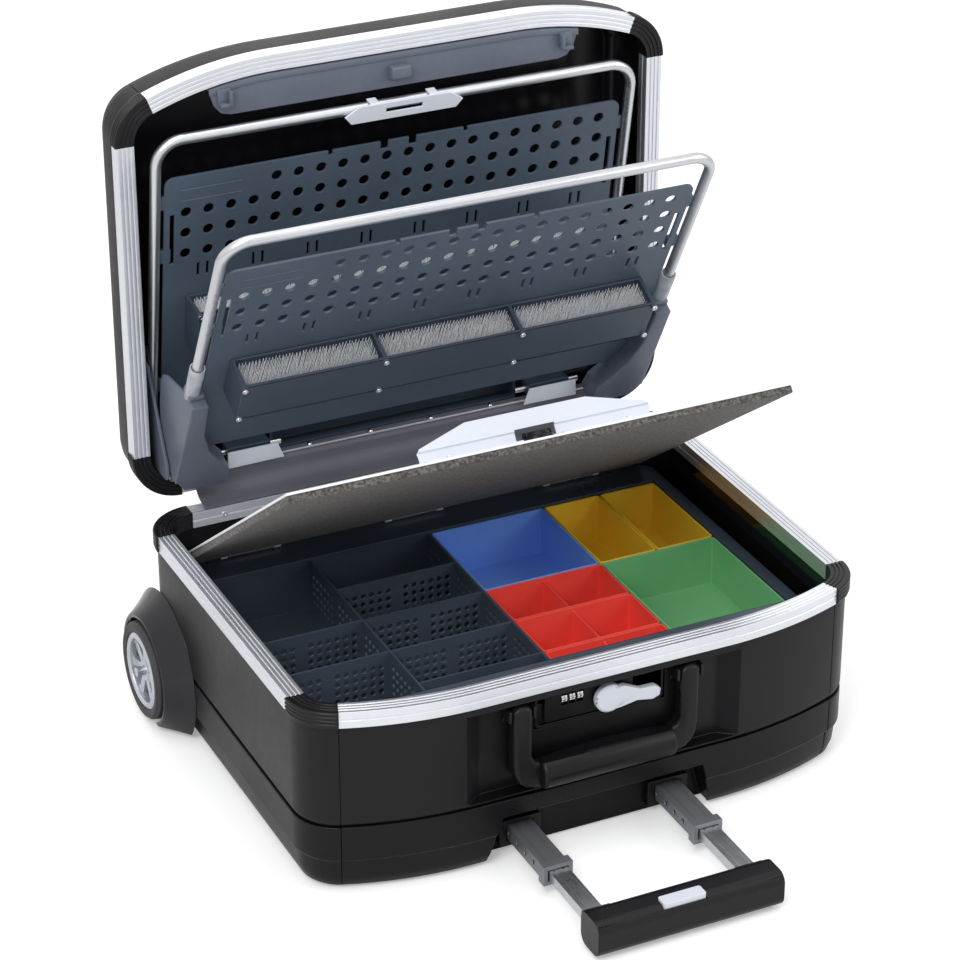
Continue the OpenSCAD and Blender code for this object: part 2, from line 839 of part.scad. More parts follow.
module parts_tray() {
  outer_x = tray_half_x + tray_wall + seat_gap;
  outer_y = tray_half_y + tray_wall + seat_gap;
  depth = tray_top - tray_floor;
  color([0.15, 0.18, 0.21]) {
    translate([0, 0, tray_floor]) difference() {
      translate([-outer_x, -outer_y, 0]) cube([2 * outer_x, 2 * outer_y, depth]);
      translate([-outer_x + tray_wall, -outer_y + tray_wall, tray_wall])
        cube([2 * (outer_x - tray_wall), 2 * (outer_y - tray_wall), depth]);
    }
    translate([0, 0, tray_top - tray_wall]) linear_extrude(tray_wall) difference() {
      intersection() {
        plan(shell_inner + 1);
        translate([-outer_x - tray_ledge, -half_width])
          square([2 * (outer_x + tray_ledge), case_width]);
      }
      square([2 * outer_x - 1, 2 * outer_y - 1], center = true);
      translate([-bay_block_half - seat_gap, front_y])
        square([2 * (bay_block_half + seat_gap), bay_y + bay_block_depth + seat_gap - front_y]);
    }
    front_ledge();
  }
}

// Raised ledge between the tray's front cells and the front rail.
module front_ledge() {
  high = rim_height - ledge_drop;
  translate([0, 0, high - tray_wall]) linear_extrude(tray_wall) intersection() {
    plan(rail_width + 2 * seat_gap);
    translate([-half_width, front_y]) square([case_width, ledge_y - front_y]);
  }
  translate([0, 0, tray_top - 1]) linear_extrude(high - tray_top) intersection() {
    plan(rail_width + 2 * seat_gap);
    translate([-half_width, ledge_y - tray_wall]) square([case_width, tray_wall]);
  }
}

// One perforated wall lying flat, its length along x and its height along y: a block of
// holes for each grid square, with plain bars between.
module perforated(length, panels, panel) {
  columns = 6;
  rows = 4;
  difference() {
    square([length, box_height]);
    for (k = [0:panels - 1], i = [0:columns - 1], j = [0:rows - 1])
      translate([
        length / 2 + (k - (panels - 1) / 2) * panel + (i - (columns - 1) / 2) * divider_pitch,
        box_height / 2 - 1 + (j - (rows - 1) / 2) * divider_pitch
      ]) circle(divider_hole / 2, $fn = 24);
  }
}

module tray_dividers() {
  base = tray_floor + tray_wall + seat_gap;
  t = divider_wall;
  run = 2 * grid_x - t / 2 - 0.6;
  color([0.14, 0.17, 0.2]) {
    for (k = [0, 1]) translate([-k * 2 * grid_x - t / 2, -tray_half_y + 0.5, base])
      rotate([90, 0, 90]) linear_extrude(t) perforated(2 * tray_half_y - 1, grid_rows, grid_y);
    for (row = [2, 3])
      translate([-4 * grid_x + 0.6, tray_half_y - row * grid_y + t / 2, base])
        rotate([90, 0, 0]) linear_extrude(t) perforated(run, 2, grid_x);
    for (row = [1:4])
      translate([-2 * grid_x, tray_half_y - row * grid_y + t / 2, base])
        rotate([90, 0, 0]) linear_extrude(t) perforated(run + t, 2, grid_x);
  }
}

// A loose box over a block of grid squares, with its own inner walls.
module loose_box(column, row, columns, rows, cell_x, cell_y) {
  gap = 0.5;
  left = -tray_half_x + column * grid_x + (column == 4 ? divider_wall / 2 : 0) + gap;
  right = -tray_half_x + (column + columns) * grid_x - gap;
  back = tray_half_y - row * grid_y - gap;
  front = tray_half_y - (row + rows) * grid_y + gap;
  w = right - left;
  d = back - front;
  t = box_wall;
  translate([left, front, tray_floor + tray_wall + seat_gap]) {
    difference() {
      rounded_box([w, d, box_height], 3);
      translate([t, t, t]) rounded_box([w - 2 * t, d - 2 * t, box_height], 1.6);
    }
    if (cell_x > 1) for (i = [1:cell_x - 1])
      translate([w * i / cell_x - t / 2, t / 2, t / 2]) cube([t, d - t, box_height - 4]);
    if (cell_y > 1) for (i = [1:cell_y - 1])
      translate([t / 2, d * i / cell_y - t / 2, t / 2]) cube([w - t, t, box_height - 4]);
  }
}

module blue_box() {
  color([0.35, 0.55, 0.9]) loose_box(4, 0, 2, 2, 1, 1);
}

module yellow_boxes() {
  color([0.9, 0.75, 0.15]) for (i = [6, 7]) loose_box(i, 0, 1, 2, 1, 1);
}

module red_boxes() {
  color([0.9, 0.25, 0.2]) for (row = [2, 3, 4]) loose_box(4, row, 2, 1, 2, 1);
}

module green_box() {
  color([0.3, 0.6, 0.35]) loose_box(6, 2, 2, 3, 1, 1);
}

// ---- lid ----

module lid_shell() {
  top = lid_z + lid_depth;
  r = lid_edge;
  wall = shell_wall;
  steps = 6;
  inset = shell_inset;
  outer = [for (i = [0:steps])
    [-inset - r + r * cos(i * 90 / steps), top - r + r * sin(i * 90 / steps)]];
  inner = [for (i = [0:steps])
    [-inset - r + (r - wall) * sin(i * 90 / steps), top - r + (r - wall) * cos(i * 90 / steps)]];
  color([0.1, 0.1, 0.11]) in_lid() {
    full_run() polygon(concat(
      [[-inset - wall, lid_z + rail_sheet + seat_gap], [-inset, lid_z + rail_sheet + seat_gap]],
      [[-inset, lid_z + rail_height + 2], [-inset + 1, lid_z + rail_height + 4]],
      [[-inset + 1, top - r - 2]], outer,
      [[-inset - r - 3, top], [-inset - r - 3, top - wall]], inner
    ));
    translate([0, 0, top - wall + 0.4]) linear_extrude(wall - 0.8) plan(inset + r + 1.5);
    rib_depth = 3;
    for (x = [-75, 0, 75])
      translate([x - 4, -70, top - wall - rib_depth + 0.4]) cube([8, 200, rib_depth + 1]);
  }
}

module lid_front_rail() {
  rail_metal() in_lid() translate([0, 0, lid_z]) front_run() mirror([0, 1]) rail_section();
}

module lid_side_rails() {
  rail_metal() in_lid() translate([0, 0, lid_z]) side_runs() mirror([0, 1]) rail_section();
}

module lid_back_rail() {
  rail_metal() in_lid() translate([0, 0, lid_z]) back_run() mirror([0, 1]) rail_section();
}

module lid_corners() {
  color([0.05, 0.05, 0.055]) in_lid() translate([0, 0, lid_z + 0.2])
    corner_runs() mirror([0, 1]) corner_section();
}

// Tray along the lid's front edge, falling back over the shoulders, with a raised lip,
// a middle catch and an end hook on each shoulder.
module head_tray() {
  turn = asin((header_half - front_flat) / (shoulder_radius - rail_width));
  low = lid_z + 1;
  out = rail_width + 1.5;
  w = header_width;
  h = header_height;
  foot = lid_depth - shell_wall - 3 - seat_gap;
  color([0.27, 0.31, 0.36]) in_lid() {
    front_run(turn) polygon([
      [-out, low],
      [-out, low + h],
      [-out - 2, low + h],
      [-out - 2.2, low + 3],
      [-out - w + 3, low + 3],
      [-out - w + 1, low + h * 0.7],
      [-out - w - 1, low + h * 0.7],
      [-out - w, low]
    ]);
    translate([-7, front_y + out + w - 2, low + 0.4]) {
      cube([14, 8, 2.2]);
      translate([2, 5.5, 0.3]) cube([10, 2, 7]);
    }
    for (side = [0, 1]) mirror([side, 0, 0]) {
      translate([front_flat, shoulder_y, 0]) rotate([0, 0, turn * 0.8])
        translate([-5, -shoulder_radius + out + 3, low + 0.8]) {
          cube([10, w - 8, 3]);
          for (x = [0.4, 6.6]) translate([x, w - 11.4, 0.6]) cube([3, 3, 12]);
        }
      translate([front_flat - 20, front_y + out + 6, low + 2]) cube([12, 8, foot]);
    }
  }
}

// Lid-mounted cheeks beside the boards' lower ends, with a sweeping wing.
module side_brackets() {
  x = frame_half + frame_tube / 2 + 1.2;
  color([0.27, 0.31, 0.36]) in_lid() for (side = [0, 1]) mirror([side, 0, 0]) {
    translate([x, 0, 0]) rotate([90, 0, 90]) linear_extrude(3) polygon([
      [pivot_y + 3.5, rear_pivot_z + 4],
      [pivot_y + 3.5, front_pivot_z - 2],
      [pivot_y + 1, front_pivot_z - 5],
      [pivot_y - 10, front_pivot_z - 5],
      [pivot_y - 50, lid_z + 4],
      [pivot_y - wing_reach + 8, lid_z + 20],
      [pivot_y - wing_reach, lid_z + lid_depth - shell_wall - seat_gap],
      [pivot_y - 30, lid_z + lid_depth - shell_wall - seat_gap]
    ]);
    translate([x - 14, pivot_y - wing_reach + 5, lid_z + lid_depth - shell_wall - 4])
      cube([16, 52, 4 - seat_gap]);
    for (z = [rear_pivot_z, front_pivot_z]) translate([x - 0.5, pivot_y, z]) rotate([0, 90, 0])
      translate([0, 0, -frame_tube + 0.4]) cylinder(frame_tube + 0.3, 2.2, 2.2);
  }
}

// Hollow beam across the lid's lower end, with stepped ends and drilled pivot blocks.
module cross_beam() {
  color([0.18, 0.21, 0.25]) in_lid() {
    translate([-beam_half, beam_y - 14, lid_z + 17]) difference() {
      cube([2 * beam_half, 20, 16]);
      translate([3, 3, -1]) cube([2 * beam_half - 6, 14, 14]);
    }
    for (side = [0, 1]) mirror([side, 0, 0]) {
      translate([beam_half - 1, beam_y - 28, lid_z + 15]) cube([56, 16, 18]);
      translate([beam_half - 1, beam_y - 20, lid_z + 24]) cube([10, 20, 9]);
      translate([beam_half + 20, beam_y - 26, lid_z + 30])
        cube([12, 12, lid_depth - shell_wall - 30 - seat_gap]);
      difference() {
        union() {
          translate([beam_half + 5, beam_y - 13, lid_z + 1]) cube([38, 12, 14.5]);
          translate([beam_half + 5, beam_y - 9, lid_z - 4.5]) cube([38, 7.5, 8]);
        }
        translate([beam_half, pin_y, lid_z + 8]) rotate([0, 90, 0])
          cylinder(60, pin_diameter / 2 + 0.1, pin_diameter / 2 + 0.1);
      }
    }
    for (x = [-40, 40]) translate([x - 6, beam_y - 10, lid_z + 30])
      cube([12, 12, lid_depth - shell_wall - 33 - seat_gap]);
  }
}

// Hinge band in its open shape: over the lid's back rail, down, and onto the base's rail.
module hinge_band() {
  y = hinge_y;
  z = rim_height;
  t = band_sheet;
  leg = z + lid_gap + hinge_back + rail_width + seat_gap;
  edge = back_y - rail_width - seat_gap;
  color([0.2, 0.2, 0.22]) rotate([90, 0, 90]) translate([0, 0, -corner_x + 10])
    linear_extrude(2 * corner_x - 20) polygon([
      [y + 9, leg],
      [y + 9, leg + t],
      [y - 1, leg + t],
      [y - seat_gap - t, leg - 1],
      [y - seat_gap - t, z + 12],
      [y - 3 - t, z + 6],
      [y - 9 - t, z + 2.6],
      [edge - t, z + 1.6],
      [edge - t, z - 6],
      [edge, z - 6],
      [edge, z + seat_gap],
      [back_y, z + seat_gap],
      [y - 2.2, z + 5],
      [y - seat_gap, z + 11],
      [y - seat_gap, leg]
    ]);
}

module band_clamp() {
  color([0.6, 0.61, 0.63]) in_lid() translate([-corner_x + 12, clamp_y - 1.8, lid_z + 1])
    cube([2 * corner_x - 24, 1.8, 7.5]);
}

module band_rivets() {
  head = 2.4;
  color([0.8, 0.81, 0.83]) in_lid() for (i = [-1.5:1.5])
    translate([i * 56, clamp_y - 1.8 - 0.1, lid_z + 4.6])
      rotate([90, 0, 0]) cylinder(1, head, head * 0.6);
}

module pivot_pins() {
  length = 60;
  color([0.8, 0.81, 0.83]) in_lid() for (side = [0, 1]) mirror([side, 0, 0])
    translate([beam_half - 6, pin_y, lid_z + 8]) rotate([0, 90, 0])
      cylinder(length, pin_diameter / 2, pin_diameter / 2);
}

module clip_plates() {
  color([0.74, 0.76, 0.8]) in_lid() for (side = [0, 1]) mirror([side, 0, 0])
    translate([beam_half - 4, beam_y - 12, lid_z - 6.3]) cube([50, 14.5, 1.5]);
}

// ---- tool boards ----

// Tube path: up both sides, round the bends and across the top.
module wire_frame() {
  r = frame_tube / 2;
  b = frame_bend;
  for (side = [0, 1]) mirror([side, 0, 0]) {
    translate([frame_half, 5, 0]) rotate([90, 0, 0]) cylinder(frame_length - b + 5, r, r);
    translate([frame_half - b, -frame_length + b, 0]) rotate([0, 0, -90])
      rotate_extrude(angle = 90) translate([b, 0]) circle(r);
  }
  translate([-frame_half + b, -frame_length, 0]) rotate([0, 90, 0])
    cylinder(2 * (frame_half - b), r, r);
}

module frame_with_eyes() {
  difference() {
    union() {
      wire_frame();
      for (side = [-1, 1]) translate([side * frame_half - 4, 0, 0]) rotate([0, 90, 0])
        cylinder(8, 6, 6);
    }
    translate([-half_width, 0, 0]) rotate([0, 90, 0]) cylinder(case_width, 2.3, 2.3);
  }
}

// The flat board: round holes, paired slots, long edge slots and a notched top edge.
module board_sheet() {
  top = board_top;
  w = board_half;
  first = top - 14;
  difference() {
    union() {
      translate([-w + 8, -top]) square([2 * w - 16, top - board_bottom]);
      translate([-w, -top + 8]) square([2 * w, top - board_bottom - 8]);
      for (x = [-w + 8, w - 8]) translate([x, -top + 8]) circle(8);
    }
    for (c = [0:hole_columns - 1], j = [0:hole_rows - 1])
      if (j > 0 || c >= 4)
        translate([(c - (hole_columns - 1) / 2) * hole_pitch, -first + j * hole_pitch])
          circle(hole_diameter / 2, $fn = 24);
    for (x = [-3.5:1:3.5], s = [-1, 1])
      translate([x * 48 + s * 4 - 1.2, -first + 4 * hole_pitch - 8]) square([2.4, 12]);
    for (s = [-1, 1]) translate([s * (w - 7) - 2, -first + 20]) square([4, 46]);
    translate([-16, -top - 1]) square([7, 8]);
    translate([9, -top - 1]) square([7, 8]);
    for (x = [-60, 60]) translate([x - 2, -top - 1]) square([4, 5]);
  }
}

// The board with its frame lugs; the sheet lies in front of the tubes' centres.
module tool_board() {
  linear_extrude(board_thickness) board_sheet();
  for (side = [-1, 1], y = [60, board_top - 72, board_top - 22])
    translate([side > 0 ? board_half - 6 : -frame_half + frame_tube / 2 + seat_gap, -y - 6, 0])
      cube([frame_half - board_half + 6 - frame_tube / 2 - seat_gap, 12, 4]);
}

// Holder box in front of the board, open at its top, in equal compartments.
module tool_holder() {
  w = 2 * holder_half;
  t = holder_wall;
  d = holder_depth;
  cell = (w - t) / holder_cells;
  translate([-holder_half, -holder_top, -d]) difference() {
    cube([w, holder_height, d - seat_gap]);
    for (i = [0:holder_cells - 1])
      translate([t + i * cell, -1, t]) cube([cell - t, holder_height - t + 1, d - t - 2.2]);
  }
  for (i = [0:holder_cells], y = [0, holder_height - 5])
    translate([-holder_half + t / 2 + i * (w - t) / holder_cells, -holder_top + 2.5 + y, -d - 1.6])
      cylinder(1.7, 2.4, 2.4);
}

// Rows of upright strands on a slice, one block a compartment, joined by thin strips.
module strand_block() {
  t = holder_wall;
  cell = (2 * holder_half - t) / holder_cells;
  inner = cell - t - 2 * seat_gap;
  deep = holder_depth - t - 2.2 - 2 * seat_gap;
  row_pitch = (inner - 3) / strand_rows;
  strand_pitch = deep / strands_per_row;
  bottom = -holder_top + holder_height - t - seat_gap;
  for (i = [0:holder_cells - 1])
    translate([-holder_half + t + seat_gap + i * cell, 0, -holder_depth + t + seat_gap]) {
      translate([0, bottom - strand_base, 0]) cube([inner, strand_base, deep]);
      for (row = [0:strand_rows - 1], k = [0:strands_per_row - 1])
        translate([2.8 + row * row_pitch, bottom - strand_base + 1, strand_pitch * (k + 0.5)])
          rotate([90, 0, 0]) linear_extrude(strand_length) circle(strand_size, $fn = 3);
    }
}

module rear_place() {
  on_board(rear_pivot_z, rear_lean) children();
}

module front_place() {
  on_board(front_pivot_z, front_lean) children();
}

module rear_frame() {
  color([0.68, 0.69, 0.71]) rear_place() frame_with_eyes();
}

module rear_board() {
  color([0.22, 0.27, 0.32]) rear_place() tool_board();
}

module rear_holder() {
  color([0.18, 0.22, 0.27]) rear_place() tool_holder();
}

module rear_bristles() {
  color([0.9, 0.9, 0.92]) rear_place() strand_block();
}

// Pressed plate on the rear frame's top tube, with a slot and turned-down ends.
module frame_clip() {
  r = frame_tube / 2;
  color([0.76, 0.77, 0.8]) rear_place() translate([0, -frame_length, 0]) {
    difference() {
      translate([0, 0, -r - 2.2]) linear_extrude(2) polygon([
        [-40, -5],
        [40, -5],
        [52, 3],
        [46, 10],
        [-46, 10],
        [-52, 3]
      ]);
      translate([-16, 0, -r - 3]) cube([32, 4, 4]);
    }
    for (x = [-30, 22]) translate([x, -r - 1.4, -r - 1]) {
      cube([8, 1.2, frame_tube]);
    }
  }
}

module front_frame() {
  color([0.68, 0.69, 0.71]) front_place() frame_with_eyes();
}

// Moulded arms that sheath the front frame's lower ends.
module front_arms() {
  x = frame_half;
  r = frame_tube / 2 + seat_gap;
  color([0.27, 0.31, 0.36]) front_place() for (side = [0, 1]) mirror([side, 0, 0]) difference() {
    translate([x - 26, 0, 0]) rotate([90, 0, 90]) linear_extrude(31) polygon([
      [-12, 6],
      [-arm_length, 6],
      [-arm_length, -10],
      [-60, -14],
      [-14, -12]
    ]);
    translate([x, 1, 0]) rotate([90, 0, 0]) cylinder(arm_length + 12, r, r);
    translate([x - 30, -arm_length - 2, 0.1 - seat_gap]) cube([30, arm_length + 5 - board_bottom, 8]);
    translate([x - 30, -arm_length - 12, -30])
      cube([holder_half - x + 31, arm_length + 26 - holder_top + holder_height, 40]);
  }
}

module front_board() {
  color([0.22, 0.27, 0.32]) front_place() tool_board();
}

module front_holder() {
  color([0.18, 0.22, 0.27]) front_place() tool_holder();
}

module front_bristles() {
  color([0.9, 0.9, 0.92]) front_place() strand_block();
}

// ---- foam cover ----

module cover_hinge() {
  r = 2.6;
  length = 40;
  color([0.7, 0.71, 0.73]) for (x = [-150, 0, 150])
    translate([x - length / 2, cover_y, cover_z]) {
      rotate([0, 90, 0]) cylinder(length, r, r);
      translate([0, 0, -r]) cube([length, back_y - shell_inner - cover_y - 0.1, 2]);
    }
}

module cover_panel() {
  color([0.85, 0.86, 0.87]) on_cover() {
    difference() {
      translate([-cover_half, cover_y - cover_length, sheet_z])
        cube([2 * cover_half, cover_length - 5, cover_sheet]);
      for (x = [-150, 0, 150]) translate([x - 21, cover_y - 6, sheet_z - 1]) cube([42, 4, 5]);
    }
    for (x = [-150, 0, 150]) for (s = [-1, 1])
      translate([x + s * 24 - 3, cover_y, cover_z]) rotate([0, 90, 0]) {
        cylinder(6, 2.6, 2.6);
        translate([-sheet_z + cover_z - cover_sheet, -7, 0])
          cube([cover_sheet, 8, 6]);
        translate([-sheet_z + cover_z - cover_sheet, -1.5, 0])
          cube([sheet_z + cover_sheet - cover_z, 2.5, 6]);
      }
  }
}

module cover_foam() {
  color([0.25, 0.24, 0.23]) on_cover()
    translate([-cover_half + 1, cover_y - cover_length + 1, foam_z])
      cube([2 * cover_half - 2, cover_length - 7, foam_thickness]);
}

// Folded bracket: a screwed foot, an upstand and a broad leaning face that narrows upwards.
module cover_bracket() {
  z = sheet_z + cover_sheet;
  w = bracket_half;
  color([0.74, 0.76, 0.8]) on_cover() difference() {
    union() {
      translate([-w, bracket_y, z]) cube([2 * w, 16, 1.6]);
      translate([-w, bracket_y + 14.4, z]) cube([2 * w, 1.6, 11]);
      translate([0, bracket_y + 14.4, z + 10]) rotate([60, 0, 0])
        linear_extrude(1.6) polygon([
          [-w, 0],
          [w, 0],
          [w - 2, 3],
          [bracket_top_half, bracket_height - 9],
          [-bracket_top_half, bracket_height - 9],
          [-w + 2, 3]
        ]);
    }
    translate([-knob_diameter / 2 - 4, bracket_y - 2, z - 2]) cube([knob_diameter + 8, 20, 14]);
    for (x = [-0.78, 0.78]) translate([x * w, bracket_y + 7, z - 1]) cylinder(4, 1.6, 1.6);
  }
}

module cover_knob() {
  z = sheet_z + cover_sheet + seat_gap;
  r = knob_diameter / 2;
  color([0.2, 0.21, 0.23]) on_cover() translate([0, bracket_y + r, z]) difference() {
    union() {
      cylinder(3, r, r);
      translate([0, 0, 2.9]) cylinder(3.6, r * 0.8, r * 0.7);
      translate([-r * 0.9, -2.5, 2.9]) cube([r * 1.8, 5, 4.6]);
    }
    translate([0, 0, -1]) cylinder(2.5, 3, 3);
  }
}

// ---- trolley handle ----

// A drawn tube with side ribs and a row of holes in its upper face.
module ribbed_tube(w, h, length) {
  difference() {
    translate([-w / 2, 0, -h / 2]) cube([w, length, h]);
    translate([-w / 2 + tube_wall, -1, -h / 2 + tube_wall])
      cube([w - 2 * tube_wall, length + 2, h - 2 * tube_wall]);
    for (x = [-w / 4, w / 4], z = [-h / 2 - 0.5, h / 2 - 0.5])
      translate([x - 0.8, -1, z]) cube([1.6, length + 2, 1]);
  }
}

module outer_stage() {
  w = stage_one_width;
  h = stage_one_thickness;
  color([0.66, 0.67, 0.7]) for (side = [-1, 1])
    translate([side * trolley_half, stage_one_y, trolley_rise]) difference() {
      union() {
        ribbed_tube(w, h, stage_length);
        translate([0, -4, 0]) hollow_tube(w + 4, h + 4, 9, 2);
        translate([0, -4, 0]) hollow_tube(w + 2, h + 2, 4 + eps, (w - stage_two_width) / 2 - 1 + 1.2);
      }
      translate([0, -5, 0])
        tube_hole(stage_two_width + 2 * slide_gap, stage_two_thickness + 2 * slide_gap, 12);
      for (y = [18:14:60]) translate([-w, y, 0]) rotate([0, 90, 0]) cylinder(2 * w, 2, 2);
    }
}

module inner_stage() {
  color([0.7, 0.71, 0.74]) for (side = [-1, 1])
    translate([side * trolley_half, stage_two_y, trolley_rise])
      ribbed_tube(stage_two_width, stage_two_thickness, stage_length - 6);
}

// Rounded bar across both inner tubes, with a pocket for the button.
module trolley_grip() {
  r = grip_thickness / 2;
  deep = 30;
  x = grip_half;
  color([0.06, 0.06, 0.065]) translate([0, stage_two_y - deep + 4, trolley_rise]) difference() {
    union() {
      rotate([90, 0, 90]) translate([0, 0, -x]) linear_extrude(2 * x) {
        translate([deep / 2, 0]) rounded_plate(deep, grip_thickness, 9);
      }
      for (side = [-1, 1]) translate([side * trolley_half - 12, deep - 3, -9]) cube([24, 6, 18]);
    }
    for (side = [-1, 1]) translate([side * trolley_half, deep - 4 - seat_gap, 0])
      tube_hole(stage_two_width + 0.4, stage_two_thickness + 0.4, 40);
    translate([-button_width / 2 - 5 - seat_gap, 3, r - 8])
      cube([button_width + 2 * seat_gap, 12, 20]);
  }
}

module release_button() {
  r = grip_thickness / 2;
  color([0.78, 0.79, 0.82])
    translate([-button_width / 2 - 5, stage_two_y - 26 + 3 + seat_gap, trolley_rise + r - 4.5])
      rounded_box([button_width, 12 - 2 * seat_gap, 6], 2);
}

base_shell();
trolley_tub();
base_front_rail();
base_side_rails();
base_back_rail();
base_corners();
guide_tubes();
tube_collars();
wheel_fenders();
wheel_axle();
left_tyre();
left_hub();
right_tyre();
right_hub();
lock_housing();
lock_plate();
dial_left();
dial_middle();
dial_right();
latch_lever();
handle_pivots();
carry_handle();
parts_tray();
tray_dividers();
blue_box();
yellow_boxes();
red_boxes();
green_box();
hinge_band();
band_rivets();
lid_shell();
lid_front_rail();
lid_side_rails();
lid_back_rail();
lid_corners();
head_tray();
side_brackets();
cross_beam();
band_clamp();
pivot_pins();
clip_plates();
rear_frame();
rear_board();
rear_holder();
rear_bristles();
frame_clip();
front_frame();
front_arms();
front_board();
front_holder();
front_bristles();
cover_hinge();
cover_panel();
cover_foam();
cover_bracket();
cover_knob();
outer_stage();
inner_stage();
trolley_grip();
release_button();
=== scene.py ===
# Looks for the rolling tool case: finishes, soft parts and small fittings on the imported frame.
# Metres. +X right, +Y to the hinge side, +Z up; the lock side faces -Y.
import bpy
import json
import math
import random
from mathutils import Matrix, Vector


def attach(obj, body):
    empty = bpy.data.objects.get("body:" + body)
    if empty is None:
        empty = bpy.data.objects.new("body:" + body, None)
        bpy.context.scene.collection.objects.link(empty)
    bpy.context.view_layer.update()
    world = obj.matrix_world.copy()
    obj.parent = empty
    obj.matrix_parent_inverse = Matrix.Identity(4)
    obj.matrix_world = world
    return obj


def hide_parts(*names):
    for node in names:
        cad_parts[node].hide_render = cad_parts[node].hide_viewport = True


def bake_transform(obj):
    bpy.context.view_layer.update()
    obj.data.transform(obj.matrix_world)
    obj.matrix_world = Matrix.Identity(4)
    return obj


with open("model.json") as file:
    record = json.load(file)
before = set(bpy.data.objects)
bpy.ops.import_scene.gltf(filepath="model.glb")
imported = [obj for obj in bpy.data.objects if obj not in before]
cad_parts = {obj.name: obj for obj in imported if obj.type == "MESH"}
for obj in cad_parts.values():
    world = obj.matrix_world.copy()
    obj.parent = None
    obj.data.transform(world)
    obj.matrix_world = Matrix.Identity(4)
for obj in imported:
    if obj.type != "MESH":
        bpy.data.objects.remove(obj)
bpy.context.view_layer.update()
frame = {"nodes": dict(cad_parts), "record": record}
random.seed(11)
bpy.context.scene.view_settings.view_transform = "Standard"
print("frame loaded:", len(frame["nodes"]), "nodes")

# sizes the pieces share with the frame
case = {
    "frontY": -0.192, "hinge": (0.185, 0.1635), "pivotY": 0.1515, "rearPivotZ": 0.2065, "frontPivotZ": 0.153,
    "rearLean": 9.5, "frontLean": 28.0, "coverHinge": (0.165, 0.1156), "coverOpen": 36.0,
}

# open lid: y and z of the shut lid swap over about the hinge
lidMatrix = (Matrix.Translation((0, case["hinge"][0], case["hinge"][1]))
             @ Matrix.Rotation(math.radians(-90), 4, "X")
             @ Matrix.Translation((0, -case["hinge"][0], -case["hinge"][1])))


def boardMatrix(pivotZ, lean):
    return (lidMatrix @ Matrix.Translation((0, case["pivotY"], pivotZ))
            @ Matrix.Rotation(math.radians(lean), 4, "X"))


rearMatrix = boardMatrix(case["rearPivotZ"], case["rearLean"])
frontMatrix = boardMatrix(case["frontPivotZ"], case["frontLean"])
coverMatrix = (Matrix.Translation((0, case["coverHinge"][0], case["coverHinge"][1]))
               @ Matrix.Rotation(math.radians(-case["coverOpen"]), 4, "X")
               @ Matrix.Translation((0, -case["coverHinge"][0], -case["coverHinge"][1])))


# camera and light

cameraSettings = {"place": (-0.998, -2.057, 1.438), "tilt": 62.08, "turn": -25.52, "lens": 121.8}


def addCamera(settings):
    bpy.ops.object.camera_add(location=settings["place"],
                              rotation=(math.radians(settings["tilt"]), 0, math.radians(settings["turn"])))
    camera = bpy.context.object
    camera.data.sensor_width = 36
    camera.data.lens = settings["lens"]
    camera.data.clip_start = 0.05
    bpy.context.scene.camera = camera
    print("camera set")


def addLamp(name, place, target, size, power):
    bpy.ops.object.light_add(type="AREA", location=place)
    lamp = bpy.context.object
    lamp.name = name
    lamp.data.shape = "RECTANGLE"
    lamp.data.size, lamp.data.size_y = size
    lamp.data.energy = power
    lamp.rotation_euler = (Vector(target) - Vector(place)).to_track_quat("-Z", "Y").to_euler()


lampSettings = [
    ("keyLamp", (-1.6, -1.5, 2.3), (0, 0, 0.2), (1.2, 1.2), 36),
    ("fillLamp", (1.9, -1.3, 1.5), (0, 0, 0.2), (1.6, 1.6), 18),
    ("backLamp", (0.2, 2.2, 1.9), (0, 0.1, 0.3), (2.2, 1.2), 10),
    ("topLamp", (-0.2, -0.1, 2.8), (0, 0, 0.2), (2.0, 2.0), 22),
]


def addWorld(colour, strength):
    world = bpy.data.worlds.new("paleStudio")
    bpy.context.scene.world = world
    world.use_nodes = True
    nodes, links = world.node_tree.nodes, world.node_tree.links
    nodes.clear()
    lightPath = nodes.new("ShaderNodeLightPath")
    room = nodes.new("ShaderNodeBackground")
    room.inputs["Color"].default_value = (*colour, 1)
    room.inputs["Strength"].default_value = strength
    white = nodes.new("ShaderNodeBackground")
    white.inputs["Color"].default_value = (1, 1, 1, 1)
    white.inputs["Strength"].default_value = 1.0
    eyeOrGloss = nodes.new("ShaderNodeMath")
    eyeOrGloss.operation = "MAXIMUM"
    showsWhite = nodes.new("ShaderNodeMath")
    showsWhite.operation = "MAXIMUM"
    links.new(lightPath.outputs["Is Camera Ray"], eyeOrGloss.inputs[0])
    links.new(lightPath.outputs["Is Glossy Ray"], eyeOrGloss.inputs[1])
    links.new(eyeOrGloss.outputs[0], showsWhite.inputs[0])
    links.new(lightPath.outputs["Is Transmission Ray"], showsWhite.inputs[1])
    mix = nodes.new("ShaderNodeMixShader")
    output = nodes.new("ShaderNodeOutputWorld")
    links.new(showsWhite.outputs[0], mix.inputs["Fac"])
    links.new(room.outputs[0], mix.inputs[1])
    links.new(white.outputs[0], mix.inputs[2])
    links.new(mix.outputs[0], output.inputs["Surface"])


worldSettings = {"colour": (0.98, 0.985, 1.0), "strength": 0.5}

addCamera(cameraSettings)
for settings in lampSettings:
    addLamp(*settings)
addWorld(**worldSettings)
print("light set:", len(lampSettings), "lamps")


# shader groups that several finishes share

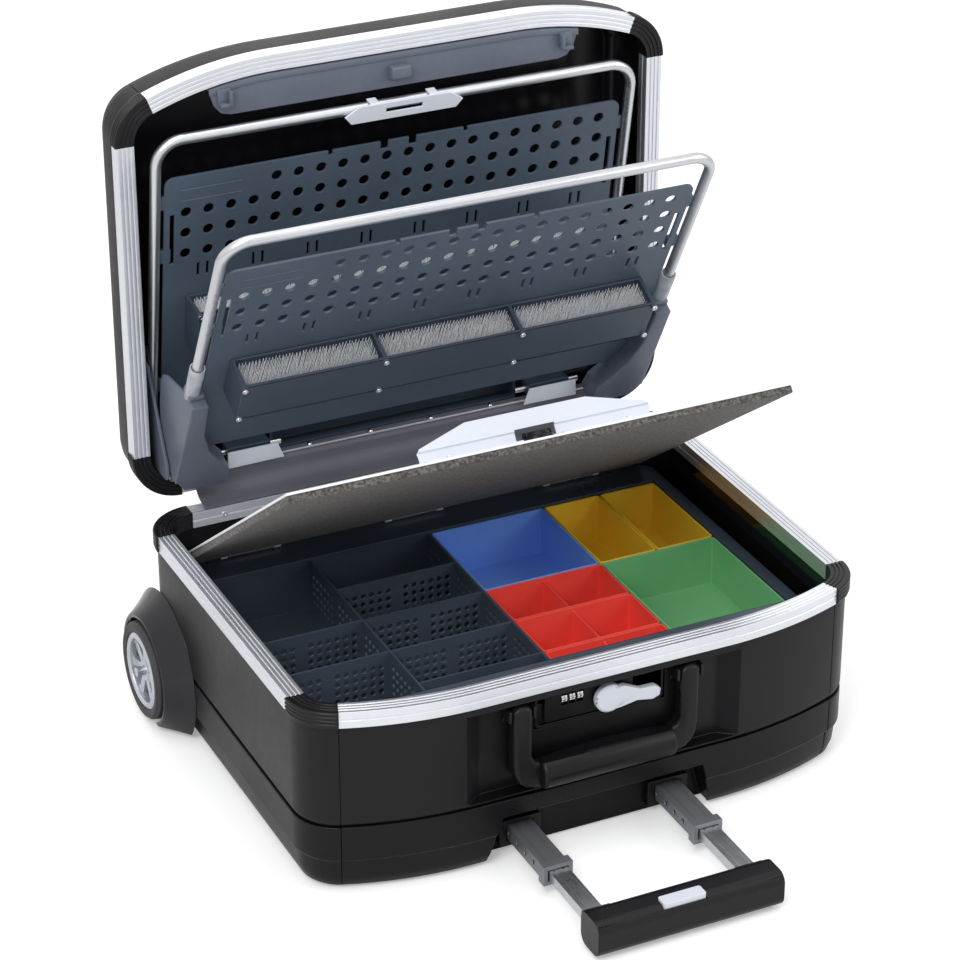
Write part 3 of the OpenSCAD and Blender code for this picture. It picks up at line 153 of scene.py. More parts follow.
def newGroup(name, inputs, outputs):
    group = bpy.data.node_groups.new(name, "ShaderNodeTree")
    for label, kind, value in inputs:
        socket = group.interface.new_socket(name=label, in_out="INPUT", socket_type=kind)
        if value is not None:
            socket.default_value = value
    for label, kind in outputs:
        group.interface.new_socket(name=label, in_out="OUTPUT", socket_type=kind)
    entry = group.nodes.new("NodeGroupInput")
    leave = group.nodes.new("NodeGroupOutput")
    return group, entry, leave


def addNode(tree, kind, **values):
    node = tree.nodes.new(kind)
    for label, value in values.items():
        setattr(node, label, value)
    return node


def buildMouldedGrain():
    # fine pebbled texture of a moulded plastic, as a height
    group, entry, leave = newGroup("mouldedGrain", [
        ("Vector", "NodeSocketVector", None), ("Scale", "NodeSocketFloat", 900.0)],
        [("Height", "NodeSocketFloat")])
    pebble = addNode(group, "ShaderNodeTexVoronoi", feature="SMOOTH_F1")
    grain = addNode(group, "ShaderNodeTexNoise")
    grain.inputs["Detail"].default_value = 3
    both = addNode(group, "ShaderNodeMath", operation="MULTIPLY_ADD")
    both.inputs[1].default_value = 0.6
    for texture in (pebble, grain):
        group.links.new(entry.outputs["Vector"], texture.inputs["Vector"])
        group.links.new(entry.outputs["Scale"], texture.inputs["Scale"])
    group.links.new(pebble.outputs["Distance"], both.inputs[0])
    group.links.new(grain.outputs["Fac"], both.inputs[2])
    group.links.new(both.outputs[0], leave.inputs["Height"])
    return group


def buildDrawnLines():
    # fine lines along one axis, as on drawn or brushed metal
    group, entry, leave = newGroup("drawnLines", [
        ("Vector", "NodeSocketVector", None), ("Stretch", "NodeSocketVector", (1, 60, 60)),
        ("Scale", "NodeSocketFloat", 60.0)],
        [("Height", "NodeSocketFloat")])
    stretch = addNode(group, "ShaderNodeVectorMath", operation="MULTIPLY")
    lines = addNode(group, "ShaderNodeTexNoise")
    lines.inputs["Detail"].default_value = 4
    lines.inputs["Roughness"].default_value = 0.7
    group.links.new(entry.outputs["Vector"], stretch.inputs[0])
    group.links.new(entry.outputs["Stretch"], stretch.inputs[1])
    group.links.new(stretch.outputs[0], lines.inputs["Vector"])
    group.links.new(entry.outputs["Scale"], lines.inputs["Scale"])
    group.links.new(lines.outputs["Fac"], leave.inputs["Height"])
    return group


def buildHandling():
    # broad smudges and faint scuffs that shift the gloss
    group, entry, leave = newGroup("handling", [
        ("Vector", "NodeSocketVector", None), ("Clean", "NodeSocketFloat", 0.3),
        ("Rubbed", "NodeSocketFloat", 0.45)],
        [("Roughness", "NodeSocketFloat"), ("Mask", "NodeSocketFloat")])
    broad = addNode(group, "ShaderNodeTexNoise")
    broad.inputs["Scale"].default_value = 9
    broad.inputs["Detail"].default_value = 5
    fine = addNode(group, "ShaderNodeTexNoise")
    fine.inputs["Scale"].default_value = 160
    fine.inputs["Detail"].default_value = 2
    mixed = addNode(group, "ShaderNodeMath", operation="MULTIPLY_ADD")
    mixed.inputs[1].default_value = 0.3
    spread = addNode(group, "ShaderNodeMapRange")
    spread.inputs["From Min"].default_value = 0.45
    spread.inputs["From Max"].default_value = 0.85
    result = addNode(group, "ShaderNodeMapRange")
    for texture in (broad, fine):
        group.links.new(entry.outputs["Vector"], texture.inputs["Vector"])
    group.links.new(fine.outputs["Fac"], mixed.inputs[0])
    group.links.new(broad.outputs["Fac"], mixed.inputs[2])
    group.links.new(mixed.outputs[0], spread.inputs["Value"])
    group.links.new(spread.outputs[0], result.inputs["Value"])
    group.links.new(entry.outputs["Clean"], result.inputs["To Min"])
    group.links.new(entry.outputs["Rubbed"], result.inputs["To Max"])
    group.links.new(result.outputs[0], leave.inputs["Roughness"])
    group.links.new(spread.outputs[0], leave.inputs["Mask"])
    return group


def buildInsideMask():
    # 1 on faces that look towards a centre, as a shell's inner walls do
    group, entry, leave = newGroup("insideMask", [
        ("Vector", "NodeSocketVector", None), ("Centre", "NodeSocketVector", (0, 0, 0)),
        ("Normal", "NodeSocketVector", None)],
        [("Mask", "NodeSocketFloat")])
    inward = addNode(group, "ShaderNodeVectorMath", operation="SUBTRACT")
    facing = addNode(group, "ShaderNodeVectorMath", operation="DOT_PRODUCT")
    mask = addNode(group, "ShaderNodeMath", operation="GREATER_THAN")
    mask.inputs[1].default_value = 0
    group.links.new(entry.outputs["Centre"], inward.inputs[0])
    group.links.new(entry.outputs["Vector"], inward.inputs[1])
    group.links.new(inward.outputs[0], facing.inputs[0])
    group.links.new(entry.outputs["Normal"], facing.inputs[1])
    group.links.new(facing.outputs["Value"], mask.inputs[0])
    group.links.new(mask.outputs[0], leave.inputs["Mask"])
    return group


insideMask = buildInsideMask()
mouldedGrain = buildMouldedGrain()
drawnLines = buildDrawnLines()
handling = buildHandling()


# finishes

class Finish:
    # one material with its Principled shader and a few common links
    def __init__(self, name):
        self.material = bpy.data.materials.new(name)
        self.material.use_nodes = True
        self.tree = self.material.node_tree
        self.shader = self.tree.nodes["Principled BSDF"]
        self.place = self.tree.nodes.new("ShaderNodeTexCoord")

    def node(self, kind, **values):
        return addNode(self.tree, kind, **values)

    def group(self, tree, **values):
        node = self.tree.nodes.new("ShaderNodeGroup")
        node.node_tree = tree
        for label, value in values.items():
            node.inputs[label].default_value = value
        self.join(self.place.outputs["Object"], node.inputs["Vector"])
        return node

    def join(self, a, b):
        self.tree.links.new(a, b)

    def bump(self, height, distance, strength=1.0, below=None):
        node = self.node("ShaderNodeBump")
        node.inputs["Distance"].default_value = distance
        node.inputs["Strength"].default_value = strength
        self.join(height, node.inputs["Height"])
        if below:
            self.join(below.outputs["Normal"], node.inputs["Normal"])
        return node

    def setBump(self, node):
        self.join(node.outputs["Normal"], self.shader.inputs["Normal"])

    def twoColours(self, mask, dark, light, low=0.3, high=0.7):
        ramp = self.node("ShaderNodeValToRGB")
        ramp.color_ramp.elements[0].position = low
        ramp.color_ramp.elements[0].color = (*dark, 1)
        ramp.color_ramp.elements[1].position = high
        ramp.color_ramp.elements[1].color = (*light, 1)
        self.join(mask, ramp.inputs["Fac"])
        self.join(ramp.outputs["Color"], self.shader.inputs["Base Color"])
        return ramp


def shade(colour, share):
    return tuple(min(1, c * share) for c in colour)


def seen(red, green, blue):
    # a colour read off a screen, as light
    shares = (red / 255, green / 255, blue / 255)
    return tuple(((c + 0.055) / 1.055) ** 2.4 if c > 0.04 else c / 12.92 for c in shares)


def makePlastic(name, colour, clean, rubbed, grain=900.0, depth=0.00003, coat=0.0, drift=0.12,
                glow=0.0, gloss=0.4):
    finish = Finish(name)
    rub = finish.group(handling, Clean=clean, Rubbed=rubbed)
    finish.join(rub.outputs["Roughness"], finish.shader.inputs["Roughness"])
    finish.twoColours(rub.outputs["Mask"], shade(colour, 1 - drift), shade(colour, 1 + drift), 0.0, 1.0)
    pebble = finish.group(mouldedGrain, Scale=grain)
    finish.setBump(finish.bump(pebble.outputs["Height"], depth, 0.6))
    finish.shader.inputs["Specular IOR Level"].default_value = gloss
    finish.shader.inputs["Coat Weight"].default_value = coat
    finish.shader.inputs["Coat Roughness"].default_value = 0.12
    if glow:
        finish.shader.inputs["Subsurface Weight"].default_value = glow
        finish.shader.inputs["Subsurface Radius"].default_value = colour
        finish.shader.inputs["Subsurface Scale"].default_value = 0.004
    return finish.material


def makeShell(name, colour, centre, outside=(0.36, 0.5), inside=0.14):
    # grained outside, smooth and glossy on its inner walls
    finish = Finish(name)
    rub = finish.group(handling, Clean=outside[0], Rubbed=outside[1])
    mask = finish.group(insideMask, Centre=centre)
    finish.join(finish.place.outputs["Normal"], mask.inputs["Normal"])
    gloss = finish.node("ShaderNodeMapRange")
    gloss.inputs["To Max"].default_value = inside
    finish.join(mask.outputs["Mask"], gloss.inputs["Value"])
    finish.join(rub.outputs["Roughness"], gloss.inputs["To Min"])
    finish.join(gloss.outputs[0], finish.shader.inputs["Roughness"])
    finish.twoColours(rub.outputs["Mask"], shade(colour, 0.85), shade(colour, 1.2), 0.0, 1.0)
    pebble = finish.group(mouldedGrain, Scale=1300.0)
    grained = finish.node("ShaderNodeMath", operation="MULTIPLY")
    outer = finish.node("ShaderNodeMath", operation="SUBTRACT")
    outer.inputs[0].default_value = 1
    finish.join(mask.outputs["Mask"], outer.inputs[1])
    finish.join(outer.outputs[0], grained.inputs[0])
    finish.join(pebble.outputs["Height"], grained.inputs[1])
    finish.setBump(finish.bump(grained.outputs[0], 0.00003, 0.6))
    finish.shader.inputs["Specular IOR Level"].default_value = 0.22
    return finish.material


def makeMetal(name, colour, clean, rubbed, stretch=(1, 60, 60), scale=60.0, depth=0.00002, metallic=1.0):
    finish = Finish(name)
    finish.shader.inputs["Metallic"].default_value = metallic
    rub = finish.group(handling, Clean=clean, Rubbed=rubbed)
    finish.join(rub.outputs["Roughness"], finish.shader.inputs["Roughness"])
    finish.twoColours(rub.outputs["Mask"], shade(colour, 0.94), shade(colour, 1.04), 0.0, 1.0)
    lines = finish.group(drawnLines, Stretch=stretch, Scale=scale)
    finish.setBump(finish.bump(lines.outputs["Height"], depth, 0.5))
    return finish.material


def makeFoam(name):
    # open grey foam, speckled with lighter and darker cells
    finish = Finish(name)
    cells = finish.node("ShaderNodeTexVoronoi")
    cells.inputs["Scale"].default_value = 620
    blotch = finish.node("ShaderNodeTexNoise")
    blotch.inputs["Scale"].default_value = 420
    blotch.inputs["Detail"].default_value = 5
    for texture in (cells, blotch):
        finish.join(finish.place.outputs["Object"], texture.inputs["Vector"])
    finish.twoColours(blotch.outputs["Fac"], seen(46, 45, 46), seen(112, 107, 101), 0.36, 0.66)
    finish.shader.inputs["Roughness"].default_value = 0.95
    finish.shader.inputs["Sheen Weight"].default_value = 0.15
    finish.shader.inputs["Sheen Roughness"].default_value = 0.6
    pits = finish.bump(cells.outputs["Distance"], 0.0003, 0.6)
    finish.setBump(finish.bump(blotch.outputs["Fac"], 0.0003, 0.5, below=pits))
    return finish.material


def makeBristle(name):
    finish = Finish(name)
    streak = finish.node("ShaderNodeTexNoise")
    streak.inputs["Scale"].default_value = 500
    finish.join(finish.place.outputs["Object"], streak.inputs["Vector"])
    finish.twoColours(streak.outputs["Fac"], seen(206, 209, 214), seen(252, 252, 253), 0.3, 0.6)
    finish.shader.inputs["Roughness"].default_value = 0.4
    finish.shader.inputs["Subsurface Weight"].default_value = 0.1
    finish.shader.inputs["Subsurface Scale"].default_value = 0.002
    return finish.material


def makeTyre(name):
    # rubber with fine circumferential ribs across its tread
    finish = Finish(name)
    wave = finish.node("ShaderNodeTexWave", bands_direction="X")
    wave.inputs["Scale"].default_value = 90
    finish.join(finish.place.outputs["Object"], wave.inputs["Vector"])
    grain = finish.group(mouldedGrain, Scale=700.0)
    finish.twoColours(grain.outputs["Height"], (0.018, 0.018, 0.019), (0.04, 0.04, 0.042), 0.4, 1.0)
    finish.shader.inputs["Roughness"].default_value = 0.62
    ribs = finish.bump(wave.outputs["Fac"], 0.0004, 0.8)
    finish.setBump(finish.bump(grain.outputs["Height"], 0.0001, 0.8, below=ribs))
    return finish.material


def makeClear(name):
    # milky clear sleeve
    finish = Finish(name)
    haze = finish.node("ShaderNodeTexNoise")
    haze.inputs["Scale"].default_value = 60
    finish.join(finish.place.outputs["Object"], haze.inputs["Vector"])
    finish.twoColours(haze.outputs["Fac"], seen(188, 192, 200), seen(226, 230, 236), 0.3, 0.7)
    finish.shader.inputs["Roughness"].default_value = 0.22
    finish.shader.inputs["Transmission Weight"].default_value = 0.45
    finish.shader.inputs["IOR"].default_value = 1.45
    return finish.material


finishes = {
    "shell_black": makeShell("shellBlack", seen(17, 17, 19), (0, 0, 0.170), (0.3, 0.44), 0.1),
    "lid_shell": makeShell("lidShellBlack", seen(21, 21, 24), (0, 0.170, 0.352), inside=0.2),
    "tub_black": makePlastic("tubBlack", seen(14, 14, 16), 0.26, 0.38, 1200, 0.00002, drift=0.2, gloss=0.2),
    "rail_aluminium": makeMetal("railAluminium", seen(224, 226, 232), 0.28, 0.38, (1, 1, 40), 30,
                                metallic=0.85),
    "corner_black": makePlastic("cornerBlack", seen(20, 20, 22), 0.22, 0.36, 900, 0.00003, gloss=0.26),
    "fender_black": makePlastic("fenderBlack", seen(26, 26, 31), 0.14, 0.24, 1500, 0.000006, coat=0.2,
                                gloss=0.3),
    "tyre_black": makeTyre("tyreRubber"),
    "hub_silver": makeMetal("hubSilver", seen(196, 199, 207), 0.24, 0.34, (1, 1, 1), 400, 0.000004,
                            metallic=0.6),
    "tray_grey": makePlastic("trayGrey", seen(66, 75, 88), 0.26, 0.38, 1000, 0.00002),
    "divider_grey": makePlastic("dividerGrey", seen(72, 82, 95), 0.28, 0.4, 1000, 0.00002),
    "fitting_grey": makePlastic("fittingGrey", seen(96, 103, 117), 0.34, 0.46, 1000, 0.00003),
    "board_grey": makePlastic("boardGrey", seen(76, 89, 103), 0.34, 0.46, 1000, 0.00003),
    "holder_grey": makePlastic("holderGrey", seen(60, 71, 84), 0.34, 0.46, 1000, 0.00003),
    "light_grey": makePlastic("lightGrey", seen(214, 219, 228), 0.3, 0.4, 900, 0.00001, drift=0.04),
    "box_blue": makePlastic("boxBlue", seen(128, 174, 252), 0.28, 0.36, 800, 0.00001, drift=0.05,
                            glow=0.12),
    "box_yellow": makePlastic("boxYellow", seen(255, 214, 66), 0.28, 0.36, 800, 0.00001, drift=0.05,
                              glow=0.12),
    "box_red": makePlastic("boxRed", seen(246, 84, 72), 0.28, 0.36, 800, 0.00001, drift=0.05, glow=0.12),
    "box_green": makePlastic("boxGreen", seen(124, 190, 134), 0.28, 0.36, 800, 0.00001, drift=0.05,
                             glow=0.12),
    "tube_steel": makeMetal("tubeSteel", seen(206, 208, 211), 0.26, 0.36, (1, 1, 1), 400, metallic=0.95),
    "stage_steel": makeMetal("stageSteel", seen(136, 138, 143), 0.34, 0.46, (40, 1, 40), 60, metallic=0.6),
    "bristle_white": makeBristle("bristleWhite"),
    "foam_grey": makeFoam("foamGrey"),
    "band_grey": makePlastic("bandGrey", seen(98, 98, 106), 0.4, 0.5, 700, 0.00002, drift=0.06),
    "sheet_white": makeMetal("sheetWhite", seen(236, 237, 240), 0.4, 0.5, (1, 40, 40), 40, metallic=0.2),
    "dial_steel": makeMetal("dialSteel", seen(222, 222, 224), 0.2, 0.3, (40, 1, 1), 80),
    "clear_sleeve": makeClear("clearSleeve"),
    "ink_dark": makePlastic("inkDark", seen(30, 30, 32), 0.4, 0.5, 900, 0.00001),
}
# nodes whose finish is a shade of their slot's
ownFinish = {
    "lid_shell": "lid_shell", "tray_dividers": "divider_grey",
    "rear_board": "board_grey", "front_board": "board_grey",
    "rear_holder": "holder_grey", "front_holder": "holder_grey", "cross_beam": "holder_grey",
    "outer_stage": "stage_steel", "guide_tubes": "stage_steel",
}
# slot and body of each frame node, read from the record; the slot picks the node's finish
slotOf = {part["node"]: part["material_slot"] for part in frame["record"]["subparts"]}
bodyOf = {node: body for body, nodes in frame["record"]["behaviour"]["bodies"].items() for node in nodes}
print("finishes made:", len(finishes))

for name, slotName in slotOf.items():
    node = frame["nodes"][name]
    node.data.materials.clear()
    node.data.materials.append(finishes[ownFinish.get(name, slotName)])


# modelling helpers

def clearSelection():
    bpy.ops.object.select_all(action="DESELECT")


def takeUp(piece):
    clearSelection()
    piece.select_set(True)
    bpy.context.view_layer.objects.active = piece


def block(name, size, place, turn=(0, 0, 0)):
    clearSelection()
    bpy.ops.mesh.primitive_cube_add(size=1, location=place, rotation=turn)
    piece = bpy.context.object
    piece.name = name
    piece.scale = size
    bpy.ops.object.transform_apply(location=False, rotation=False, scale=True)
    return piece


def soften(piece, width, segments=2, angle=30):
    takeUp(piece)
    edge = piece.modifiers.new("edge", "BEVEL")
    edge.width = width
    edge.segments = segments
    edge.limit_method = "ANGLE"
    edge.angle_limit = math.radians(angle)
    edge.harden_normals = False
    bpy.ops.object.modifier_apply(modifier="edge")


def smoothPiece(piece, angle=35):
    takeUp(piece)
    bpy.ops.object.shade_smooth_by_angle(angle=math.radians(angle))


def finishPiece(piece, body, slotName, replaced=(), matrix=None, angle=35):
    if matrix:
        piece.matrix_world = matrix @ piece.matrix_world
    takeUp(piece)
    bpy.ops.object.transform_apply(location=True, rotation=True, scale=True)
    smoothPiece(piece, angle)
    piece.data.materials.clear()
    piece.data.materials.append(finishes[slotName])
    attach(piece, body)
    if replaced:
        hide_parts(*replaced)
    return piece


def joinPieces(name, pieces):
    clearSelection()
    for piece in pieces:
        piece.select_set(True)
    bpy.context.view_layer.objects.active = pieces[0]
    bpy.ops.object.join()
    joined = bpy.context.object
    joined.name = name
    joined.data.name = name
    return joined


def copyPiece(piece, name):
    twin = bpy.data.objects.new(name, piece.data.copy())
    bpy.context.collection.objects.link(twin)
    return twin


def plate(name, points, across, thick, start=0.0):
    # flat piece from an outline, drawn across an axis and pulled to its thickness
    clearSelection()
    bpy.ops.mesh.primitive_circle_add(vertices=len(points), radius=0.1, fill_type="NGON", location=(0, 0, 0))
    piece = bpy.context.object
    piece.name = name
    for vertex, (a, b) in zip(piece.data.vertices, points):
        vertex.co = {"X": (start, a, b), "Y": (a, start, b), "Z": (a, b, start)}[across]
    pull = {"X": (thick, 0, 0), "Y": (0, thick, 0), "Z": (0, 0, thick)}[across]
    bpy.ops.object.mode_set(mode="EDIT")
    bpy.ops.mesh.select_all(action="SELECT")
    bpy.ops.mesh.extrude_region_move(TRANSFORM_OT_translate={"value": pull})
    bpy.ops.mesh.select_all(action="SELECT")
    bpy.ops.mesh.normals_make_consistent(inside=False)
    bpy.ops.object.mode_set(mode="OBJECT")
    return piece


def mirrorPiece(piece, name):
    twin = copyPiece(piece, name)
    for vertex in twin.data.vertices:
        vertex.co.x = -vertex.co.x
    takeUp(twin)
    bpy.ops.object.mode_set(mode="EDIT")
    bpy.ops.mesh.select_all(action="SELECT")
    bpy.ops.mesh.flip_normals()
    bpy.ops.object.mode_set(mode="OBJECT")
    return twin


# moulded and rolled edges on the frame's own shapes

edgeSettings = {
    "base_shell": 0.0008, "trolley_tub": 0.0010, "lid_shell": 0.0008, "base_corners": 0.0004,
    "lid_corners": 0.0004, "base_front_rail": 0.0003, "base_side_rails": 0.0003, "base_back_rail": 0.0003,
    "lid_front_rail": 0.0003, "lid_side_rails": 0.0003, "lid_back_rail": 0.0003,
    "rear_board": 0.0004, "front_board": 0.0004, "rear_holder": 0.0006, "front_holder": 0.0006,
    "cross_beam": 0.0008, "side_brackets": 0.0008, "frame_clip": 0.0005, "band_clamp": 0.0003,
    "parts_tray": 0.0006, "tray_dividers": 0.0003, "blue_box": 0.0005, "yellow_boxes": 0.0005,
    "red_boxes": 0.0005, "green_box": 0.0005, "cover_panel": 0.0004, "cover_bracket": 0.0005,
    "cover_knob": 0.0008, "lock_housing": 0.0006, "lock_plate": 0.0004, "latch_lever": 0.0009,
    "handle_pivots": 0.0006, "outer_stage": 0.0004, "inner_stage": 0.0004, "tube_collars": 0.0008,
    "trolley_grip": 0.0009, "release_button": 0.0006, "left_hub": 0.0006, "right_hub": 0.0006,
    "wheel_fenders": 0.0008, "left_tyre": 0.0006, "right_tyre": 0.0006,
}
mergeDistance = 0.00002   # loose triangles of a frame node become one skin
oneStepEdges = {"tray_dividers"}   # its many holes take one step


def softenNode(name, width):
    piece = copyPiece(frame["nodes"][name], name + "_edged")
    takeUp(piece)
    bpy.ops.object.mode_set(mode="EDIT")
    bpy.ops.mesh.select_all(action="SELECT")
    bpy.ops.mesh.remove_doubles(threshold=mergeDistance)
    bpy.ops.mesh.dissolve_limited(angle_limit=math.radians(0.8))
    bpy.ops.object.mode_set(mode="OBJECT")
    edge = piece.modifiers.new("edge", "BEVEL")
    edge.width = width
    edge.segments = 1 if name in oneStepEdges else 2
    edge.limit_method = "ANGLE"
    edge.angle_limit = math.radians(40)
    edge.use_clamp_overlap = False
    bpy.ops.object.modifier_apply(modifier="edge")
    bpy.ops.object.shade_smooth_by_angle(angle=math.radians(40))
    even = piece.modifiers.new("even", "WEIGHTED_NORMAL")
    even.keep_sharp = True
    bpy.ops.object.modifier_apply(modifier="even")
    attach(piece, bodyOf[name])
    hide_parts(name)
    return piece


for name, width in edgeSettings.items():
    softenNode(name, width)
print("edges rolled:", len(edgeSettings))


# foam of the cover

coverSettings = {"halfWidth": 0.2152, "front": -0.149, "back": 0.158, "foamZ": 0.1138, "foamThick": 0.006,
                 "edge": 0.0010}


def makeCoverFoam(s):
    foam = block("coverFoam", (2 * s["halfWidth"], s["back"] - s["front"], s["foamThick"]),
                 (0, (s["back"] + s["front"]) / 2, s["foamZ"] + s["foamThick"] / 2))
    soften(foam, s["edge"], 3)
    return finishPiece(foam, "cover", "foam_grey", ["cover_foam"], coverMatrix)


coverFoam = makeCoverFoam(coverSettings)
print("cover foam made")


# bristles in the tool holders

bristleSettings = {
    "halfWidth": 0.183, "wall": 0.003, "depth": 0.030, "top": 0.145, "height": 0.041,
    "cells": 3, "rows": 40, "perRow": 10, "length": 0.0368, "thick": 0.00085,
    "play": 0.0006, "deepRoom": 0.0036, "sideRoom": 0.0014, "edgeRoom": 0.0018, "rowInset": 0.0024,
    "backing": 0.004, "stray": 0.0002, "uneven": 0.0012, "lean": 0.8, "sway": 1.1,
}


def makeBristles(name, matrix, body, node, s):
    cell = (2 * s["halfWidth"] - s["wall"]) / s["cells"]
    inner = cell - s["wall"] - 2 * s["play"]
    deep = s["depth"] - s["wall"] - s["deepRoom"]
    floorY = -s["top"] + s["height"] - s["wall"] - s["play"]
    backing = block(name + "Backing", (inner, s["backing"], deep), (0, 0, 0))
    bpy.ops.object.mode_set(mode="EDIT")
    bpy.ops.mesh.bevel(offset=s["play"], segments=2)
    bpy.ops.object.mode_set(mode="OBJECT")
    clearSelection()
    bpy.ops.mesh.primitive_cone_add(vertices=4, radius1=s["thick"], radius2=s["thick"] * 0.45,
                                    depth=s["length"], end_fill_type="NOTHING", location=(0, 0, 0))
    hair = bpy.context.object
    bpy.ops.object.mode_set(mode="EDIT")
    bpy.ops.mesh.select_all(action="SELECT")
    bpy.ops.mesh.subdivide(number_cuts=1)
    bpy.ops.object.mode_set(mode="OBJECT")
    pieces = []
    for i in range(s["cells"]):
        left = -s["halfWidth"] + s["wall"] + s["play"] + i * cell
        strip = backing.copy()
        strip.data = backing.data.copy()
        bpy.context.collection.objects.link(strip)
        strip.location = (left + inner / 2, floorY - s["backing"] / 2,
                          -s["depth"] + s["wall"] + s["play"] + deep / 2)
        pieces.append(strip)
        for row in range(s["rows"]):
            for k in range(s["perRow"]):
                strand = hair.copy()
                strand.data = hair.data.copy()
                bpy.context.collection.objects.link(strand)
                x = (left + s["rowInset"] + row * (inner - 2 * s["rowInset"]) / (s["rows"] - 1)
                     + random.uniform(-s["stray"], s["stray"]))
                z = -s["depth"] + s["wall"] + s["sideRoom"] + (k + 0.5) * (deep - s["edgeRoom"]) / s["perRow"]
                strand.location = (x, floorY - s["length"] / 2 + random.uniform(0.0, s["uneven"]), z)
                strand.rotation_euler = (math.radians(90 + random.uniform(-s["lean"], s["lean"])), 0,
                                         math.radians(random.uniform(-s["sway"], s["sway"])))
                pieces.append(strand)
    bpy.data.objects.remove(hair)
    bpy.data.objects.remove(backing)
    brush = joinPieces(name, pieces)
    return finishPiece(brush, body, "bristle_white", [node], matrix)


makeBristles("rearBristles", rearMatrix, "rear_rack", "rear_bristles", bristleSettings)
makeBristles("frontBristles", frontMatrix, "front_rack", "front_bristles", bristleSettings)
print("bristles made")


# hinge band, a curved strip between case and lid

bandSettings = {
    "halfLength": 0.189, "thick": 0.0014, "bendStart": (0, 0.168, 0.166), "bendEnd": (0, 0.1845, 0.182),
    "path": [(0.1935, 0.1868), (0.1870, 0.1868), (0.1848, 0.1860), (0.1839, 0.1842), (0.1837, 0.1805),
             (0.1832, 0.1768), (0.1818, 0.1734), (0.1792, 0.1704), (0.1752, 0.1682), (0.1708, 0.1668),
             (0.1662, 0.1658), (0.1634, 0.1650), (0.1624, 0.1644)],
}


def makeBand(s):
    clearSelection()
    bpy.ops.mesh.primitive_plane_add(size=1, location=(0, 0, 0))
    band = bpy.context.object
    band.name = "hingeBand"
    path, ends = s["path"], (-s["halfLength"], s["halfLength"])
    band.data.clear_geometry()
    band.data.from_pydata([(x, y, z) for x in ends for y, z in path], [],
                          [(i, i + 1, len(path) + i + 1, len(path) + i) for i in range(len(path) - 1)])
    takeUp(band)
    thick = band.modifiers.new("thick", "SOLIDIFY")
    thick.thickness = s["thick"]
    thick.offset = 0
    bpy.ops.object.modifier_apply(modifier="thick")
    bpy.ops.object.mode_set(mode="EDIT")
    bpy.ops.mesh.select_all(action="SELECT")
    bpy.ops.mesh.subdivide(number_cuts=2)
    bpy.ops.mesh.normals_make_consistent(inside=False)
    bpy.ops.object.mode_set(mode="OBJECT")
    smoothPiece(band, 60)
    band.data.materials.append(finishes["band_grey"])
    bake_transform(band)
    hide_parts("hinge_band")
    return band


makeBand(bandSettings)
print("hinge band made")


# moulded arms of the front rack, with the flank behind each and a clear sleeve above

armSettings = {
    "front": -0.0150, "thick": 0.0210, "edge": 0.0016,
    "outline": [(0.2005, -0.1075), (0.2150, -0.1075), (0.2152, -0.0400), (0.2150, -0.0100), (0.2060, 0.0060),
                (0.1700, 0.0075), (0.1672, 0.0045), (0.1690, -0.0125), (0.1775, -0.0235), (0.1905, -0.0420),
                (0.1985, -0.0680)],
    "flank": [(-0.0060, -0.0148), (-0.1073, -0.0148), (-0.1073, 0.0040), (-0.1010, 0.0120), (-0.0930, 0.0250),
              (-0.0850, 0.0380), (-0.0780, 0.0448), (-0.0700, 0.0460), (-0.0490, 0.0405), (-0.0060, 0.0218)],
    "flankX": 0.2124, "flankThick": 0.0028, "flankEdge": 0.0009,
    "seatSize": (0.0132, 0.0070, 0.0150), "seatPlace": (0.2084, -0.1090, 0.0),
    "tubeX": 0.210, "sleeveRadius": 0.0064, "sleeveWall": 0.0012, "sleeve": (-0.1050, -0.1420),
}


def makeArm(s):
    face = plate("armFace", s["outline"], "Z", s["thick"], s["front"])
    soften(face, s["edge"], 4)
    flank = plate("armFlank", s["flank"], "X", s["flankThick"], s["flankX"])
    soften(flank, s["flankEdge"], 3)
    seat = block("armSeat", s["seatSize"], s["seatPlace"])
    soften(seat, s["edge"], 3)
    return joinPieces("armRight", [face, flank, seat])


def makeSleeve(s):
    length = s["sleeve"][0] - s["sleeve"][1]
    clearSelection()
    bpy.ops.mesh.primitive_cylinder_add(vertices=32, radius=s["sleeveRadius"], depth=length,
                                        end_fill_type="NOTHING", rotation=(math.radians(90), 0, 0),
                                        location=(s["tubeX"], (s["sleeve"][0] + s["sleeve"][1]) / 2, 0))
    sleeve = bpy.context.object
    bpy.ops.object.transform_apply(location=True, rotation=True, scale=True)
    wall = sleeve.modifiers.new("wall", "SOLIDIFY")
    wall.thickness = s["sleeveWall"]
    wall.offset = -1
    bpy.ops.object.modifier_apply(modifier="wall")
    soften(sleeve, 0.0004, 2, 50)
    return sleeve


armRight = makeArm(armSettings)
armLeft = mirrorPiece(armRight, "armLeft")
finishPiece(armRight, "front_rack", "fitting_grey", ["front_arms"], frontMatrix)
finishPiece(armLeft, "front_rack", "fitting_grey", ["front_arms"], frontMatrix)
sleeveRight = makeSleeve(armSettings)
sleeveLeft = mirrorPiece(sleeveRight, "sleeveLeft")
for sleeve in (sleeveRight, sleeveLeft):
    finishPiece(sleeve, "front_rack", "clear_sleeve", (), frontMatrix)
print("arms and sleeves made")


# head tray in the lid: face plate, raised lip, middle catch and end hooks

